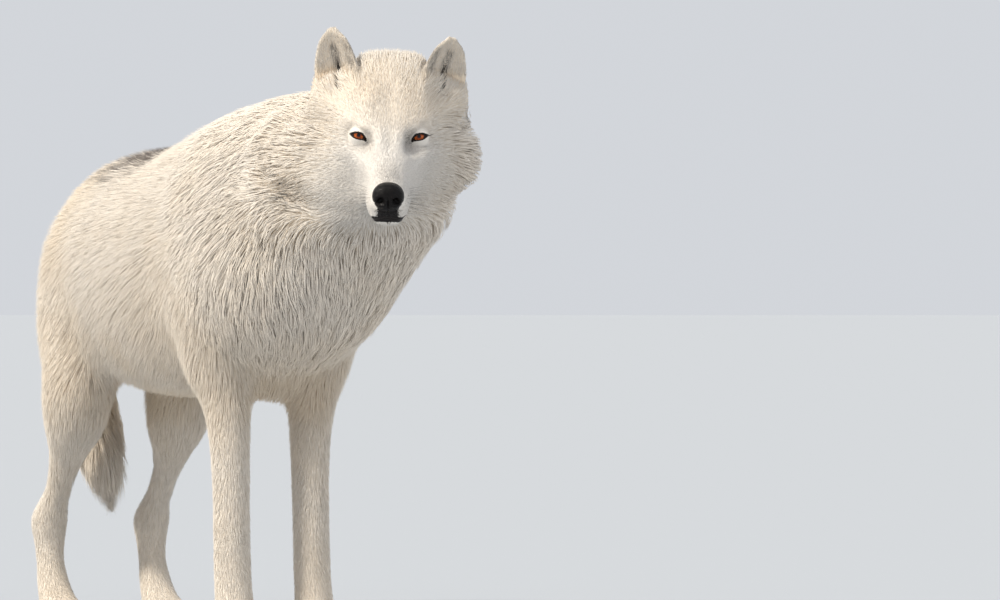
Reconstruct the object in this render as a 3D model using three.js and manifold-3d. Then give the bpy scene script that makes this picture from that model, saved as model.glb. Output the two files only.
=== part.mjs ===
// An arctic wolf in its winter coat, standing still with its head turned to its right, at life size.
// Millimetres, +X straight ahead of the wolf, +Y to its left, +Z up, the floor at zero.
// The whole animal is one smooth field, which is negative inside the coat. Each part is the piece of
// that field inside its own box, so the parts meet along thin flat cuts and never overlap.
import * as THREE from "three";
import { mergeVertices } from "three/addons/utils/BufferGeometryUtils.js";
import Module from "manifold-3d";

// ---------------------------------------------------------------- driving sizes

const GAP = 0.3; // air in each cut between two parts
const FORE_X = 344; // the forefeet stand this far ahead of the middle of the body
const FORE_Y = 68; // and this far out to each side
const FORE_STAGGER = 8; // the right forefoot is ahead of that by this, the left one behind
const HIND_X = -385; // the hind feet stand this far behind the middle
const HIND_Y = 85;
const HIND_STAGGER = -10; // the right hind foot is a little behind the left one
const ORIGIN_X = 133; // the middle of the whole outline lies this far ahead of the body's middle
const ORIGIN_Y = 16; // and this far to its left

const HEAD_AT = [735, 28, 757]; // midway between the eyes
const HEAD_TURN = 23; // degrees, to the right
const HEAD_NOD = 22; // degrees, muzzle down
const HEAD_ROLL = 1.2; // degrees, its left side lower
const EYE_OUT = 44;
const EYE_BACK = 5;
const EYE_RADIUS = 12;
const EYE_SIDES = 10;
const EYE_RINGS = 8;

const CLAW_LENGTH = 27;
const CLAW_RADIUS = 5;
const CLAW_SIDES = 7;
const CLAW_ROOT_HEIGHT = 18; // above the floor, inside the toe
const CLAW_DIP = 24; // degrees below level

// ---------------------------------------------------------------- the field

const FAR = 1e6;
const CHAIN_STEPS = 5; // pieces between two stations of a limb

const degrees = (angle) => THREE.MathUtils.degToRad(angle);

// Joins two distances with a fillet about as large as the blend.
function blend(a, b, width) {
  const near = Math.max(width - Math.abs(a - b), 0) / width;
  return Math.min(a, b) - (near * near * width) / 4;
}

// Cuts b out of a with a fillet.
const carve = (a, b, width) => -blend(-a, b, width);

// A limb is a smooth chain of oval sections. Each station is [x, y, z, half-width, half-depth].
// The half-width lies along "across", the half-depth at right angles to it and to the chain.
function limb(stations, { across = [0, 1, 0], frame = new THREE.Matrix4() } = {}) {
  const centres = new THREE.CatmullRomCurve3(
    stations.map(([x, y, z]) => new THREE.Vector3(x, y, z).applyMatrix4(frame)),
  );
  const sizes = new THREE.CatmullRomCurve3(stations.map((s) => new THREE.Vector3(s[3], s[4], 0)));
  const side = new THREE.Vector3(...across).transformDirection(frame);
  const count = (stations.length - 1) * CHAIN_STEPS;
  const points = Array.from({ length: count + 1 }, (_, i) => ({
    at: centres.getPoint(i / count),
    size: sizes.getPoint(i / count),
  }));
  const pieces = points.slice(1).map((end, i) => {
    const start = points[i];
    const axis = end.at.clone().sub(start.at);
    const length = axis.length();
    axis.normalize();
    const wide = side.clone().addScaledVector(axis, -side.dot(axis)).normalize();
    const deep = new THREE.Vector3().crossVectors(axis, wide);
    return { start, end, axis, length, wide, deep };
  });
  const bounds = new THREE.Box3();
  for (const { at, size } of points) {
    const reach = Math.max(size.x, size.y);
    bounds.expandByPoint(at.clone().addScalar(reach));
    bounds.expandByPoint(at.clone().addScalar(-reach));
  }
  return { pieces, bounds };
}

const offset = new THREE.Vector3();

// The distance from a point to one piece of a limb, close to exact near its surface.
function pieceDistance(point, { start, end, axis, length, wide, deep }) {
  const along = offset.subVectors(point, start.at).dot(axis);
  const share = THREE.MathUtils.clamp(along / length, 0, 1);
  offset.addScaledVector(axis, -share * length);
  const halfWide = THREE.MathUtils.lerp(start.size.x, end.size.x, share);
  const halfDeep = THREE.MathUtils.lerp(start.size.y, end.size.y, share);
  const cap = Math.min(halfWide, halfDeep);
  const a = offset.dot(wide) / halfWide;
  const b = offset.dot(deep) / halfDeep;
  const c = offset.dot(axis) / cap;
  const radius = Math.hypot(a, b, c);
  const slope = Math.hypot(a / halfWide, b / halfDeep, c / cap);
  return slope === 0 ? -cap : (radius * (radius - 1)) / slope;
}

const SKIP = 90; // a limb farther off than this can't change the surface

function limbDistance(point, { pieces, bounds }) {
  const off = bounds.distanceToPoint(point);
  if (off > SKIP) return off;
  return pieces.reduce((least, piece) => Math.min(least, pieceDistance(point, piece)), FAR);
}

// ---------------------------------------------------------------- the trunk, neck and tail

// From the rump to the breast: [x, y, z, half-width, half-depth] of the coat.
const trunkLimb = limb([
  [-416, 0, 612, 78, 86],
  [-370, 0, 598, 102, 138],
  [-250, 0, 584, 130, 178],
  [-130, 0, 568, 154, 202],
  [40, 0, 567, 166, 207],
  [130, 0, 573, 168, 214],
  [210, 0, 584, 166, 220],
  [310, 0, 598, 156, 214],
  [400, 0, 594, 140, 168],
]);

// The breast, under the neck and between the shoulders.
const breastLimb = limb([
  [330, 0, 520, 130, 120],
  [420, 0, 560, 140, 120],
]);

// The neck with its mane, which turns to the right as it climbs to the head.
const neckLimb = limb([
  [385, 6, 662, 146, 158],
  [450, 18, 674, 150, 166],
  [525, 34, 694, 144, 154],
  [590, 50, 720, 126, 128],
  [634, 64, 740, 100, 98],
]);

// The ruff hangs from the cheeks over the throat and widens the front of the neck.
const ruffLimb = limb([
  [440, 16, 560, 130, 110],
  [530, 44, 606, 125, 92],
  [602, 74, 664, 118, 82],
]);

const tailLimb = limb(
  [
    [-428, 0, 658, 50, 50],
    [-486, 0, 606, 50, 44],
    [-526, 0, 500, 57, 44],
    [-500, 0, 400, 55, 50],
    [-440, 0, 310, 51, 50],
    [-390, 0, 240, 43, 43],
    [-366, 0, 190, 24, 23],
  ],
);

// ---------------------------------------------------------------- the legs

// side is 1 for the left and -1 for the right; ahead is the leg's own shift along X.
function forelegLimbs(side, ahead) {
  const x = FORE_X + ahead;
  const y = side * FORE_Y;
  const shoulder = limb([
    [x - 20, side * 84, 600, 56, 92],
    [x - 10, side * 96, 500, 54, 84],
    [x - 22, side * 88, 420, 44, 58],
  ]);
  const forearm = limb([
    [x - 22, side * 84, 430, 42, 56],
    [x - 12, side * 74, 380, 38, 47],
    [x - 5, y, 270, 33, 37],
    [x, y, 165, 32, 34],
    [x + 4, y, 90, 32, 32],
    [x + 14, y, 45, 36, 30],
  ]);
  return [shoulder, forearm];
}

function hindlegLimbs(side, ahead) {
  const x = HIND_X + ahead;
  const y = side * HIND_Y;
  const thigh = limb([
    [x + 55, side * 58, 600, 60, 96],
    [x + 62, side * 74, 500, 60, 114],
    [x + 106, side * 82, 400, 56, 84],
    [x + 90, side * 84, 330, 47, 54],
  ]);
  const shank = limb([
    [x + 110, side * 86, 370, 50, 60],
    [x + 72, side * 86, 290, 36, 40],
    [x + 14, y, 216, 26, 30],
    [x - 32, y, 158, 24, 30],
  ]);
  const metatarsus = limb([
    [x - 34, y, 154, 24, 31],
    [x - 28, y, 105, 25, 28],
    [x - 12, y, 60, 30, 28],
    [x + 4, y, 40, 34, 26],
  ]);
  return [thigh, shank, metatarsus];
}

// A paw spreads four toes, and its middle pair reaches farthest. turn is each claw's own, in degrees.
const TOES = [
  { out: -33, reach: 34, turn: -10 },
  { out: -12, reach: 50, turn: -3 },
  { out: 12, reach: 50, turn: 3 },
  { out: 33, reach: 34, turn: 10 },
];

function pawLimbs(x, y, size) {
  const heel = limb([
    [x - 18 * size, y, 22 * size, 34 * size, 24 * size],
    [x + 14 * size, y, 22 * size, 40 * size, 26 * size],
  ]);
  const toes = TOES.map(({ out, reach }) =>
    limb([
      [x + 8 * size, y + out * 0.7 * size, 24 * size, 15 * size, 22 * size],
      [x + reach * size, y + out * size, 16 * size, 14 * size, 17 * size],
    ]),
  );
  return [heel, ...toes];
}

const SIDES = [
  { name: "left", side: 1, fore: -FORE_STAGGER, hind: -HIND_STAGGER },
  { name: "right", side: -1, fore: FORE_STAGGER, hind: HIND_STAGGER },
];
const HIND_PAW_SIZE = 0.88;
const PAWS = SIDES.flatMap(({ name, side, fore, hind }) => [
  { name: `forepaw_${name}`, x: FORE_X + fore + 20, y: side * FORE_Y, size: 1 },
  { name: `hindpaw_${name}`, x: HIND_X + hind + 18, y: side * HIND_Y, size: HIND_PAW_SIZE },
]);

// ---------------------------------------------------------------- the head

// In the head's own frame x is ahead along the skull, y left and z up, from midway between the eyes.
const headFrame = new THREE.Matrix4()
  .makeTranslation(...HEAD_AT)
  .multiply(new THREE.Matrix4().makeRotationZ(degrees(-HEAD_TURN)))
  .multiply(new THREE.Matrix4().makeRotationY(degrees(HEAD_NOD)))
  .multiply(new THREE.Matrix4().makeRotationX(degrees(-HEAD_ROLL)));
const headLimb = (stations, across = [0, 1, 0]) => limb(stations, { across, frame: headFrame });

const skullLimbs = [
  headLimb([
    [-135, 0, 10, 96, 84],
    [-95, 0, 20, 90, 74],
    [-50, 0, 4, 78, 62],
    [-14, 0, -14, 60, 48],
  ]),
  // muzzle
  headLimb([
    [-5, 0, -32, 52, 42],
    [40, 0, -44, 40, 37],
    [82, 0, -54, 33, 34],
    [100, 0, -60, 29, 30],
  ]),
  // lower jaw and chin
  headLimb([
    [-40, 0, -74, 52, 36],
    [30, 0, -80, 35, 24],
    [94, 0, -80, 24, 17],
  ]),
];
const cheekLimbs = SIDES.map(({ side }) =>
  headLimb([
    [-20, side * 34, -34, 34, 36],
    [-60, side * 57, -52, 52, 58],
    [-95, side * 76, -68, 60, 68],
  ]),
);
const browLimbs = SIDES.map(({ side }) =>
  headLimb([
    [-6, side * 24, 16, 15, 13],
    [-22, side * 48, 20, 16, 14],
  ]),
);
const noseLimb = headLimb([
  [102, 0, -45, 21, 18],
  [117, 0, -47, 20, 17],
]);
const socketLimbs = SIDES.map(({ side }) =>
  headLimb([
    [18, side * 32, -5, 16, 11],
    [4, side * 58, 3, 16, 11],
  ]),
);

const EAR_BASE = [-92, 78, 40];
// The left ear is laid out and back a little more.
const EAR_TIPS = { left: [-104, 90, 115], right: [-104, 83, 127] };
const EAR_CUT_TILT = 22; // degrees that the cut under the ear dips outwards
const EAR_FACING = 28; // degrees that the opening turns out from straight ahead

function earLimbs(name, side) {
  const across = [Math.sin(degrees(-side * EAR_FACING)), Math.cos(degrees(-side * EAR_FACING)), 0];
  const [baseX, baseY, baseZ] = EAR_BASE;
  const [tipX, tipY, tipZ] = EAR_TIPS[name];
  const at = (share, ahead, half, depth) => [
    THREE.MathUtils.lerp(baseX, tipX, share) + ahead,
    side * THREE.MathUtils.lerp(baseY, tipY, share),
    THREE.MathUtils.lerp(baseZ, tipZ, share),
    half,
    depth,
  ];
  const shell = headLimb(
    [at(-0.3, 0, 38, 26), at(0.15, 0, 37, 22), at(0.6, 0, 30, 15), at(1, 0, 16, 9)],
    across,
  );
  const bowl = headLimb([at(0.12, 26, 22, 20), at(0.5, 18, 19, 15), at(0.85, 12, 9, 8)], across);
  return { shell, bowl };
}
const ears = SIDES.map(({ name, side }) => earLimbs(name, side));

// The ear's own frame stands on the skull where the ear leaves it, with z along the ear.
const EAR_CUT = 0.3; // share of the ear's length, from its base
function earFrame(name, side) {
  const [baseX, baseY, baseZ] = EAR_BASE;
  const [tipX, tipY, tipZ] = EAR_TIPS[name];
  const lean = Math.atan2(tipY - baseY, tipZ - baseZ);
  return headFrame
    .clone()
    .multiply(
      new THREE.Matrix4().makeTranslation(
        THREE.MathUtils.lerp(baseX, tipX, EAR_CUT),
        side * THREE.MathUtils.lerp(baseY, tipY, EAR_CUT),
        THREE.MathUtils.lerp(baseZ, tipZ, EAR_CUT),
      ),
    )
    .multiply(new THREE.Matrix4().makeRotationX(-side * (lean + degrees(EAR_CUT_TILT))));
}

// ---------------------------------------------------------------- the whole animal

const TRUNK_BLEND = 60;
const LEG_BLEND = 36;
const HEAD_BLEND = 26;
const FACE_BLEND = 14;
const EAR_BLEND = 14;
const TAIL_BLEND = 20;
const PAW_BLEND = 12;

const foreLegs = SIDES.flatMap(({ side, fore }) => forelegLimbs(side, fore));
const hindLegs = SIDES.flatMap(({ side, hind }) => hindlegLimbs(side, hind));
const paws = PAWS.flatMap(({ x, y, size }) => pawLimbs(x, y, size));

// Pairs of a limb's group and its blend, joined in this order.
const JOINS = [
  [[breastLimb, neckLimb, ruffLimb], TRUNK_BLEND],
  [foreLegs, LEG_BLEND],
  [hindLegs, LEG_BLEND],
  [paws, PAW_BLEND],
  [[tailLimb], TAIL_BLEND],
  [skullLimbs, HEAD_BLEND],
  [cheekLimbs, HEAD_BLEND],
  [[...browLimbs, noseLimb], FACE_BLEND],
];

// The distance from a point to the coat's surface, negative inside it.
function wolfField(point) {
  let distance = limbDistance(point, trunkLimb);
  for (const [limbs, width] of JOINS) {
    for (const one of limbs) distance = blend(distance, limbDistance(point, one), width);
  }
  for (const socket of socketLimbs) {
    distance = carve(distance, limbDistance(point, socket), FACE_BLEND);
  }
  for (const { shell, bowl } of ears) {
    const ear = carve(limbDistance(point, shell), limbDistance(point, bowl), FACE_BLEND / 2);
    distance = blend(distance, ear, EAR_BLEND);
  }
  return distance;
}

// ---------------------------------------------------------------- from field to solid

const wasm = await Module();
wasm.setup();

function solidFrom(geometry, matrix = new THREE.Matrix4()) {
  const bare = geometry.clone();
  bare.deleteAttribute("normal");
  bare.deleteAttribute("uv");
  const merged = mergeVertices(bare.applyMatrix4(matrix));
  return new wasm.Manifold(
    new wasm.Mesh({
      numProp: 3,
      vertProperties: merged.attributes.position.array,
      triVerts: new Uint32Array(merged.index.array),
    }),
  );
}

function geometryFrom(solid) {
  const { vertProperties, triVerts } = solid.getMesh();
  const geometry = new THREE.BufferGeometry();
  geometry.setAttribute("position", new THREE.BufferAttribute(vertProperties, 3));
  geometry.setIndex(new THREE.BufferAttribute(triVerts, 1));
  return geometry;
}

// A cut can leave loose slivers, so a part keeps only its largest piece.
const largest = (solid) =>
  solid.decompose().reduce((most, piece) => (piece.volume() > most.volume() ? piece : most));

// A box in its own frame, made larger or smaller by "grow" on every face.
function boxSolid({ frame, min, max }, grow) {
  const size = max.map((value, i) => value - min[i] + 2 * grow);
  const middle = max.map((value, i) => (value + min[i]) / 2);
  const matrix = frame.clone().multiply(new THREE.Matrix4().makeTranslation(...middle));
  return solidFrom(new THREE.BoxGeometry(...size), matrix);
}

const SETTLE_STEPS = 3; // Newton steps that bring a vertex onto the surface
const SLOPE_STEP = 0.5; // mm, for the field's slope
const MARGIN = 3; // empty cells round a net

// Moves a point along the field's slope until it lies on the surface.
function settle(point, field) {
  const probe = new THREE.Vector3();
  for (let step = 0; step < SETTLE_STEPS; step += 1) {
    const value = field(point);
    const slope = new THREE.Vector3();
    for (let axis = 0; axis < 3; axis += 1) {
      probe.copy(point).setComponent(axis, point.getComponent(axis) + SLOPE_STEP);
      slope.setComponent(axis, (field(probe) - value) / SLOPE_STEP);
    }
    point.addScaledVector(slope, -value / Math.max(slope.lengthSq(), 0.25));
  }
}

// The corners of a cell are numbered with one bit for each axis. Each face is a ring of four corners.
const CELL_FACES = [0, 1, 2].flatMap((axis) =>
  [0, 1].map((end) => {
    const first = 1 << ((axis + 1) % 3);
    const second = 1 << ((axis + 2) % 3);
    return [0, first, first | second, second].map((corner) => corner | (end << axis));
  }),
);
const edgeKey = (a, b) => Math.min(a, b) * 8 + Math.max(a, b);

// The surface can cross a cell in several sheets. This gives each crossed edge its sheet by following
// the surface over the cell's faces, always round the corners that are inside.
function sheetsOf(inside) {
  const sheets = new Map();
  const join = (a, b) => {
    const kept = sheets.get(a) ?? a;
    const lost = sheets.get(b) ?? b;
    for (const [edge, sheet] of sheets) if (sheet === lost) sheets.set(edge, kept);
    sheets.set(a, kept);
    sheets.set(b, kept);
  };
  for (const ring of CELL_FACES) {
    const at = (n) => ring[(n + 4) % 4];
    for (let first = 0; first < 4; first += 1) {
      if (!inside[at(first)] || inside[at(first - 1)]) continue;
      let last = first;
      while (inside[at(last + 1)]) last += 1;
      join(edgeKey(at(first - 1), at(first)), edgeKey(at(last), at(last + 1)));
    }
  }
  return sheets;
}

// Skins the field inside a box with a net of quads, one vertex for each sheet of surface in a cell.
function skinField({ frame, min, max, cell }) {
  const cells = max.map((value, i) => Math.ceil((value - min[i]) / cell[i]) + 2 * MARGIN);
  const corner = (...at) => new THREE.Vector3(...at.map((n, i) => min[i] + (n - MARGIN) * cell[i]));
  const inBox = new THREE.Box3(
    new THREE.Vector3(...min.map((value, i) => value - cell[i])),
    new THREE.Vector3(...max.map((value, i) => value + cell[i])),
  );
  const [nx, ny, nz] = cells;
  const index = (i, j, k) => (k * (ny + 1) + j) * (nx + 1) + i;
  const vertexKey = (i, j, k, edge) => index(i, j, k) * 64 + edge;
  const values = new Float64Array((nx + 1) * (ny + 1) * (nz + 1)).fill(FAR);
  for (let k = 0; k <= nz; k += 1) {
    for (let j = 0; j <= ny; j += 1) {
      for (let i = 0; i <= nx; i += 1) {
        const point = corner(i, j, k);
        if (!inBox.containsPoint(point)) continue;
        values[index(i, j, k)] = wolfField(point.applyMatrix4(frame));
      }
    }
  }
  const vertexOf = new Map();
  const positions = [];
  const triangles = [];
  for (let k = 0; k < nz; k += 1) {
    for (let j = 0; j < ny; j += 1) {
      for (let i = 0; i < nx; i += 1) addVertices(i, j, k);
    }
  }

  function addVertices(i, j, k) {
    const places = Array.from({ length: 8 }, (_, n) => [i + (n & 1), j + ((n >> 1) & 1), k + (n >> 2)]);
    const found = places.map((place) => values[index(...place)]);
    const sheets = sheetsOf(found.map((value) => value < 0));
    for (const sheet of new Set(sheets.values())) {
      const edges = [...sheets.keys()].filter((edge) => sheets.get(edge) === sheet);
      const sum = new THREE.Vector3();
      let clipped = false;
      for (const edge of edges) {
        const [from, to] = [edge >> 3, edge & 7];
        const open = found[from] === FAR || found[to] === FAR;
        const share = open ? 0.5 : found[from] / (found[from] - found[to]);
        sum.add(corner(...places[from]).lerp(corner(...places[to]), share));
        clipped ||= open;
      }
      const vertex = sum.divideScalar(edges.length).applyMatrix4(frame);
      if (!clipped) settle(vertex, wolfField);
      for (const edge of edges) vertexOf.set(vertexKey(i, j, k, edge), positions.length / 3);
      positions.push(...vertex);
    }
  }

  for (let k = 1; k < nz; k += 1) {
    for (let j = 1; j < ny; j += 1) {
      for (let i = 1; i < nx; i += 1) addQuads(i, j, k);
    }
  }

  // The quad round each grid edge that the surface crosses.
  function addQuads(i, j, k) {
    const here = values[index(i, j, k)];
    for (let axis = 0; axis < 3; axis += 1) {
      const next = [i, j, k];
      next[axis] += 1;
      const there = values[index(...next)];
      if (here < 0 === there < 0) continue;
      const ring = [
        [0, 0],
        [-1, 0],
        [-1, -1],
        [0, -1],
      ].map(([first, second]) => {
        const cellAt = [i, j, k];
        cellAt[(axis + 1) % 3] += first;
        cellAt[(axis + 2) % 3] += second;
        const from = (-first << ((axis + 1) % 3)) | (-second << ((axis + 2) % 3));
        return vertexOf.get(vertexKey(...cellAt, edgeKey(from, from | (1 << axis))));
      });
      if (here >= 0) ring.reverse();
      const [a, b, c, d] = ring;
      const span = (from, to) =>
        [0, 1, 2].reduce((total, n) => total + (positions[from * 3 + n] - positions[to * 3 + n]) ** 2, 0);
      if (span(a, c) < span(b, d)) triangles.push(a, b, c, a, c, d);
      else triangles.push(a, b, d, b, c, d);
    }
  }

  const geometry = new THREE.BufferGeometry();
  geometry.setAttribute("position", new THREE.BufferAttribute(new Float32Array(positions), 3));
  geometry.setIndex(new THREE.BufferAttribute(new Uint32Array(triangles), 1));
  return geometry;
}

// ---------------------------------------------------------------- the parts

const COAT = { color: "#efe6d6", roughness: 0.95, metalness: 0 };
const EAR_COAT = { color: "#e9dccb", roughness: 0.95, metalness: 0 };
const NOSE_SKIN = { color: "#17110f", roughness: 0.35, metalness: 0 };
const AMBER = { color: "#b9541c", roughness: 0.12, metalness: 0 };
const HORN = { color: "#3a332d", roughness: 0.5, metalness: 0 };

const level = new THREE.Matrix4();

// Where the neck leaves the trunk: a plane from the withers down to the breast, leaning forward.
const NECK_CUT_AT = [355, 0, 640];
const NECK_CUT_LEAN = 31; // degrees above level, the way the cut faces
const neckFrame = new THREE.Matrix4()
  .makeTranslation(...NECK_CUT_AT)
  .multiply(new THREE.Matrix4().makeRotationY(degrees(-NECK_CUT_LEAN)));

const WIDE = 400; // wider than any part

// Heights of the cuts across the legs, the tail and the trunk.
const HIP = 600;
const SHOULDER = 560;
const ELBOW = 398;
const WRIST = 140;
const KNEE = 365;
const HOCK = 200;
const HIND_TOES = 78;
const TAIL_MIDDLE = 400;
const TAIL_TOP = 720;
const TAIL_LOWEST = 140;
const FLOOR = -GAP / 2; // a part is half a gap smaller than its box, so the soles come out at zero
const BELLY = 330;
const BACK = 900;

// Where the tail's part begins, behind the body's middle, and how far back the hind end reaches.
const TAIL_START = -452;
const TAIL_END_START = -336;
const REARMOST = -620;
const FRONT_LIMIT = 480; // no part of a foreleg is farther ahead

// In the head's frame: the nose leather, the lower jaw below the lips, and the head with its cheeks.
const NOSE_BACK = 110;
const NOSE_SPAN = { low: -66, high: -18, half: 30 };
const JAW_BACK = 12;
const LIP_LINE = -82;
const JAW_HALF = 38;
const HEAD_BACK = -128;
const HEAD_HALF = 180;
const HEAD_LOW = -128;
const HEAD_FRONT = 150;
const THROAT_LOW = -140;

// Each region is a box in its own frame, with the size of the net's cells inside it.
const regions = {
  nose: {
    frame: headFrame,
    min: [NOSE_BACK, -NOSE_SPAN.half, NOSE_SPAN.low],
    max: [HEAD_FRONT, NOSE_SPAN.half, NOSE_SPAN.high],
    cell: [10, 8.5, 8.5],
  },
  jaw: {
    frame: headFrame,
    min: [JAW_BACK, -JAW_HALF, THROAT_LOW],
    max: [HEAD_FRONT, JAW_HALF, LIP_LINE],
    cell: [20, 14, 12],
  },
  head: {
    frame: headFrame,
    min: [HEAD_BACK, -HEAD_HALF, HEAD_LOW],
    max: [HEAD_FRONT, HEAD_HALF, HEAD_FRONT],
    cell: [18, 18, 18],
  },
  neck: { frame: neckFrame, min: [0, -WIDE, -WIDE], max: [WIDE, WIDE, WIDE], cell: [50, 48, 48] },
};
for (const { name, side, fore, hind } of SIDES) {
  // A box from its spans along X, outwards from the middle, and along Z.
  const box = (along, outwards, upwards, cell) => {
    const [near, far] = outwards;
    const across = side > 0 ? [near, far] : [-far, -near];
    const spans = [along, across, upwards];
    return { frame: level, min: spans.map(([low]) => low), max: spans.map(([, high]) => high), cell };
  };
  const foreX = FORE_X + fore;
  const hindX = HIND_X + hind;
  regions[`ear_${name}`] = {
    frame: earFrame(name, side),
    min: [-50, -46, 0],
    max: [50, 46, 110],
    cell: [11, 11, 11],
  };
  regions[`upperarm_${name}`] = box([foreX - 110, FRONT_LIMIT], [84, 260], [ELBOW, SHOULDER], [36, 34, 36]);
  regions[`forearm_${name}`] = box([foreX - 90, FRONT_LIMIT], [24, 160], [WRIST, ELBOW], [24, 21, 44]);
  regions[`forepaw_${name}`] = box([foreX - 90, FRONT_LIMIT], [10, 150], [FLOOR, WRIST], [22, 17, 21]);
  regions[`thigh_${name}`] = box([hindX - 135, hindX + 200], [42, 260], [KNEE, HIP], [38, 36, 38]);
  regions[`shank_${name}`] = box([hindX - 115, hindX + 235], [30, 260], [HOCK, KNEE], [30, 24, 38]);
  regions[`metatarsus_${name}`] = box([hindX - 115, hindX + 85], [30, 260], [HIND_TOES, HOCK], [21, 19, 34]);
  regions[`hindpaw_${name}`] = box([hindX - 115, hindX + 125], [10, 160], [FLOOR, HIND_TOES], [19, 16, 19]);
}
regions.tail_root = {
  frame: level,
  min: [REARMOST, -90, TAIL_MIDDLE],
  max: [TAIL_START, 90, TAIL_TOP],
  cell: [26, 28, 40],
};
regions.tail_end = {
  frame: level,
  min: [REARMOST, -56, TAIL_LOWEST],
  max: [TAIL_END_START, 56, TAIL_MIDDLE],
  cell: [28, 28, 36],
};
regions.trunk = {
  frame: level,
  min: [-560, -WIDE, BELLY],
  max: [560, WIDE, BACK],
  cell: [76, 51, 51],
};

// Where two boxes meet, the part named first keeps the space.
const ORDER = [
  "nose",
  "jaw",
  ...SIDES.map(({ name }) => `ear_${name}`),
  "head",
  "neck",
  "tail_root",
  "tail_end",
  ...["upperarm", "forearm", "forepaw", "thigh", "shank", "metatarsus", "hindpaw"].flatMap((part) =>
    SIDES.map(({ name }) => `${part}_${name}`),
  ),
  "trunk",
];

const wolf = new THREE.Group();

function addMesh(name, geometry, look) {
  const mesh = new THREE.Mesh(geometry, new THREE.MeshStandardMaterial(look));
  mesh.name = name;
  wolf.add(mesh);
  return mesh;
}

const eyes = SIDES.map(({ name, side }) => ({
  name: `eye_${name}`,
  at: new THREE.Vector3(-EYE_BACK, side * EYE_OUT, 0).applyMatrix4(headFrame),
}));
const eyeSolid = (at, radius) =>
  solidFrom(new THREE.SphereGeometry(radius, EYE_SIDES, EYE_RINGS), new THREE.Matrix4().setPosition(at));

// A claw is a cone whose back is cut away by its toe, moved ahead by the gap.
function clawSolid(paw, { x, y, size }, { out, reach, turn }) {
  const root = new THREE.Vector3(x + reach * size, y + out * size, CLAW_ROOT_HEIGHT * size);
  const cone = new THREE.ConeGeometry(CLAW_RADIUS * size, CLAW_LENGTH * size, CLAW_SIDES)
    .translate(0, (CLAW_LENGTH * size) / 2, 0)
    .rotateZ(-Math.PI / 2)
    .rotateY(degrees(CLAW_DIP))
    .rotateZ(degrees(turn));
  const whole = solidFrom(cone, new THREE.Matrix4().setPosition(root));
  return largest(whole.subtract(paw.translate([GAP, 0, 0])));
}

const solids = {};
const LOOKS = { nose: NOSE_SKIN, ear_left: EAR_COAT, ear_right: EAR_COAT };
ORDER.forEach((name, place) => {
  const region = regions[name];
  let solid = solidFrom(skinField(region)).intersect(boxSolid(region, -GAP / 2));
  for (const earlier of ORDER.slice(0, place)) {
    solid = solid.subtract(boxSolid(regions[earlier], GAP / 2));
  }
  if (name === "head") {
    for (const { at } of eyes) solid = solid.subtract(eyeSolid(at, EYE_RADIUS + GAP));
  }
  solids[name] = largest(solid);
  addMesh(name, geometryFrom(solids[name]), LOOKS[name] ?? COAT);
});

for (const { name, at } of eyes) {
  const eye = addMesh(name, new THREE.SphereGeometry(EYE_RADIUS, EYE_SIDES, EYE_RINGS), AMBER);
  eye.position.copy(at);
}

for (const paw of PAWS) {
  TOES.forEach((toe, number) => {
    const claw = clawSolid(solids[paw.name], paw, toe);
    addMesh(`claw_${paw.name}_${number + 1}`, geometryFrom(claw), HORN);
  });
}

wolf.position.set(-ORIGIN_X, -ORIGIN_Y, 0);

export default wolf;
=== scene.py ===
# %% [markdown]
# # Arctic wolf, life size
# A standing wolf in its winter coat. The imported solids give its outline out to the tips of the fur.
# Everything here is built from that outline inwards: a skin that lies under the coat by the coat's
# depth, then eyes, nose and lips, many thousands of small tufts of fur, and at last whiskers and claws.

# %% Load the frame
import math

import bmesh
import bpy
import numpy as np
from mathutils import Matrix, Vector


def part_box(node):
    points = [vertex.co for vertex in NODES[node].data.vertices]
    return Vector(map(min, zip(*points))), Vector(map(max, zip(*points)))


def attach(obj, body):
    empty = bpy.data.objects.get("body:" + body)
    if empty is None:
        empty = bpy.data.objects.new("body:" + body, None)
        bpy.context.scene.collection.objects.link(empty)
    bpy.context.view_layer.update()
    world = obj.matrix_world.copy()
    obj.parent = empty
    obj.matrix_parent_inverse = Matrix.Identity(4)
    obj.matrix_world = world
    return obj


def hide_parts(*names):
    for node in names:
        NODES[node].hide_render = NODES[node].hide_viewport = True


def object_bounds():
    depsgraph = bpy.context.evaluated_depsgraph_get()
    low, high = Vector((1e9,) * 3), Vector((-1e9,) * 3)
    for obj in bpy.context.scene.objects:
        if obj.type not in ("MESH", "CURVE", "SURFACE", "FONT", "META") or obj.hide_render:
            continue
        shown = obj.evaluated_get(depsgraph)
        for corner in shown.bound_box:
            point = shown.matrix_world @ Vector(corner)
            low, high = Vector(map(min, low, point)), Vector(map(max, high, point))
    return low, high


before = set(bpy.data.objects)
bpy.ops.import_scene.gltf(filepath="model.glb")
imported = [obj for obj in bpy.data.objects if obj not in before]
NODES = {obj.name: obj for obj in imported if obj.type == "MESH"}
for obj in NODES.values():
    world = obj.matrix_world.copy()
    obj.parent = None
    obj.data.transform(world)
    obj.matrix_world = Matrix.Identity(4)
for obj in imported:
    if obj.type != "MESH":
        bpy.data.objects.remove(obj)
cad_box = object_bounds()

import openvdb
from mathutils import Vector
from mathutils.kdtree import KDTree

MM = 0.001
BODY = "root"
rng = np.random.default_rng(7)
print("nodes", len(NODES), "box", [[round(v, 3) for v in corner] for corner in cad_box])

# %% [markdown]
# ## Camera, floor and light
# The camera stands far off with a long lens, level with the wolf's chest, ahead of it and to its
# right, so the turned head looks straight back. A low winter sun stands on the picture's left, softened
# to nine degrees across, and a pale world and floor fill the shadows as snow would.

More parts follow.
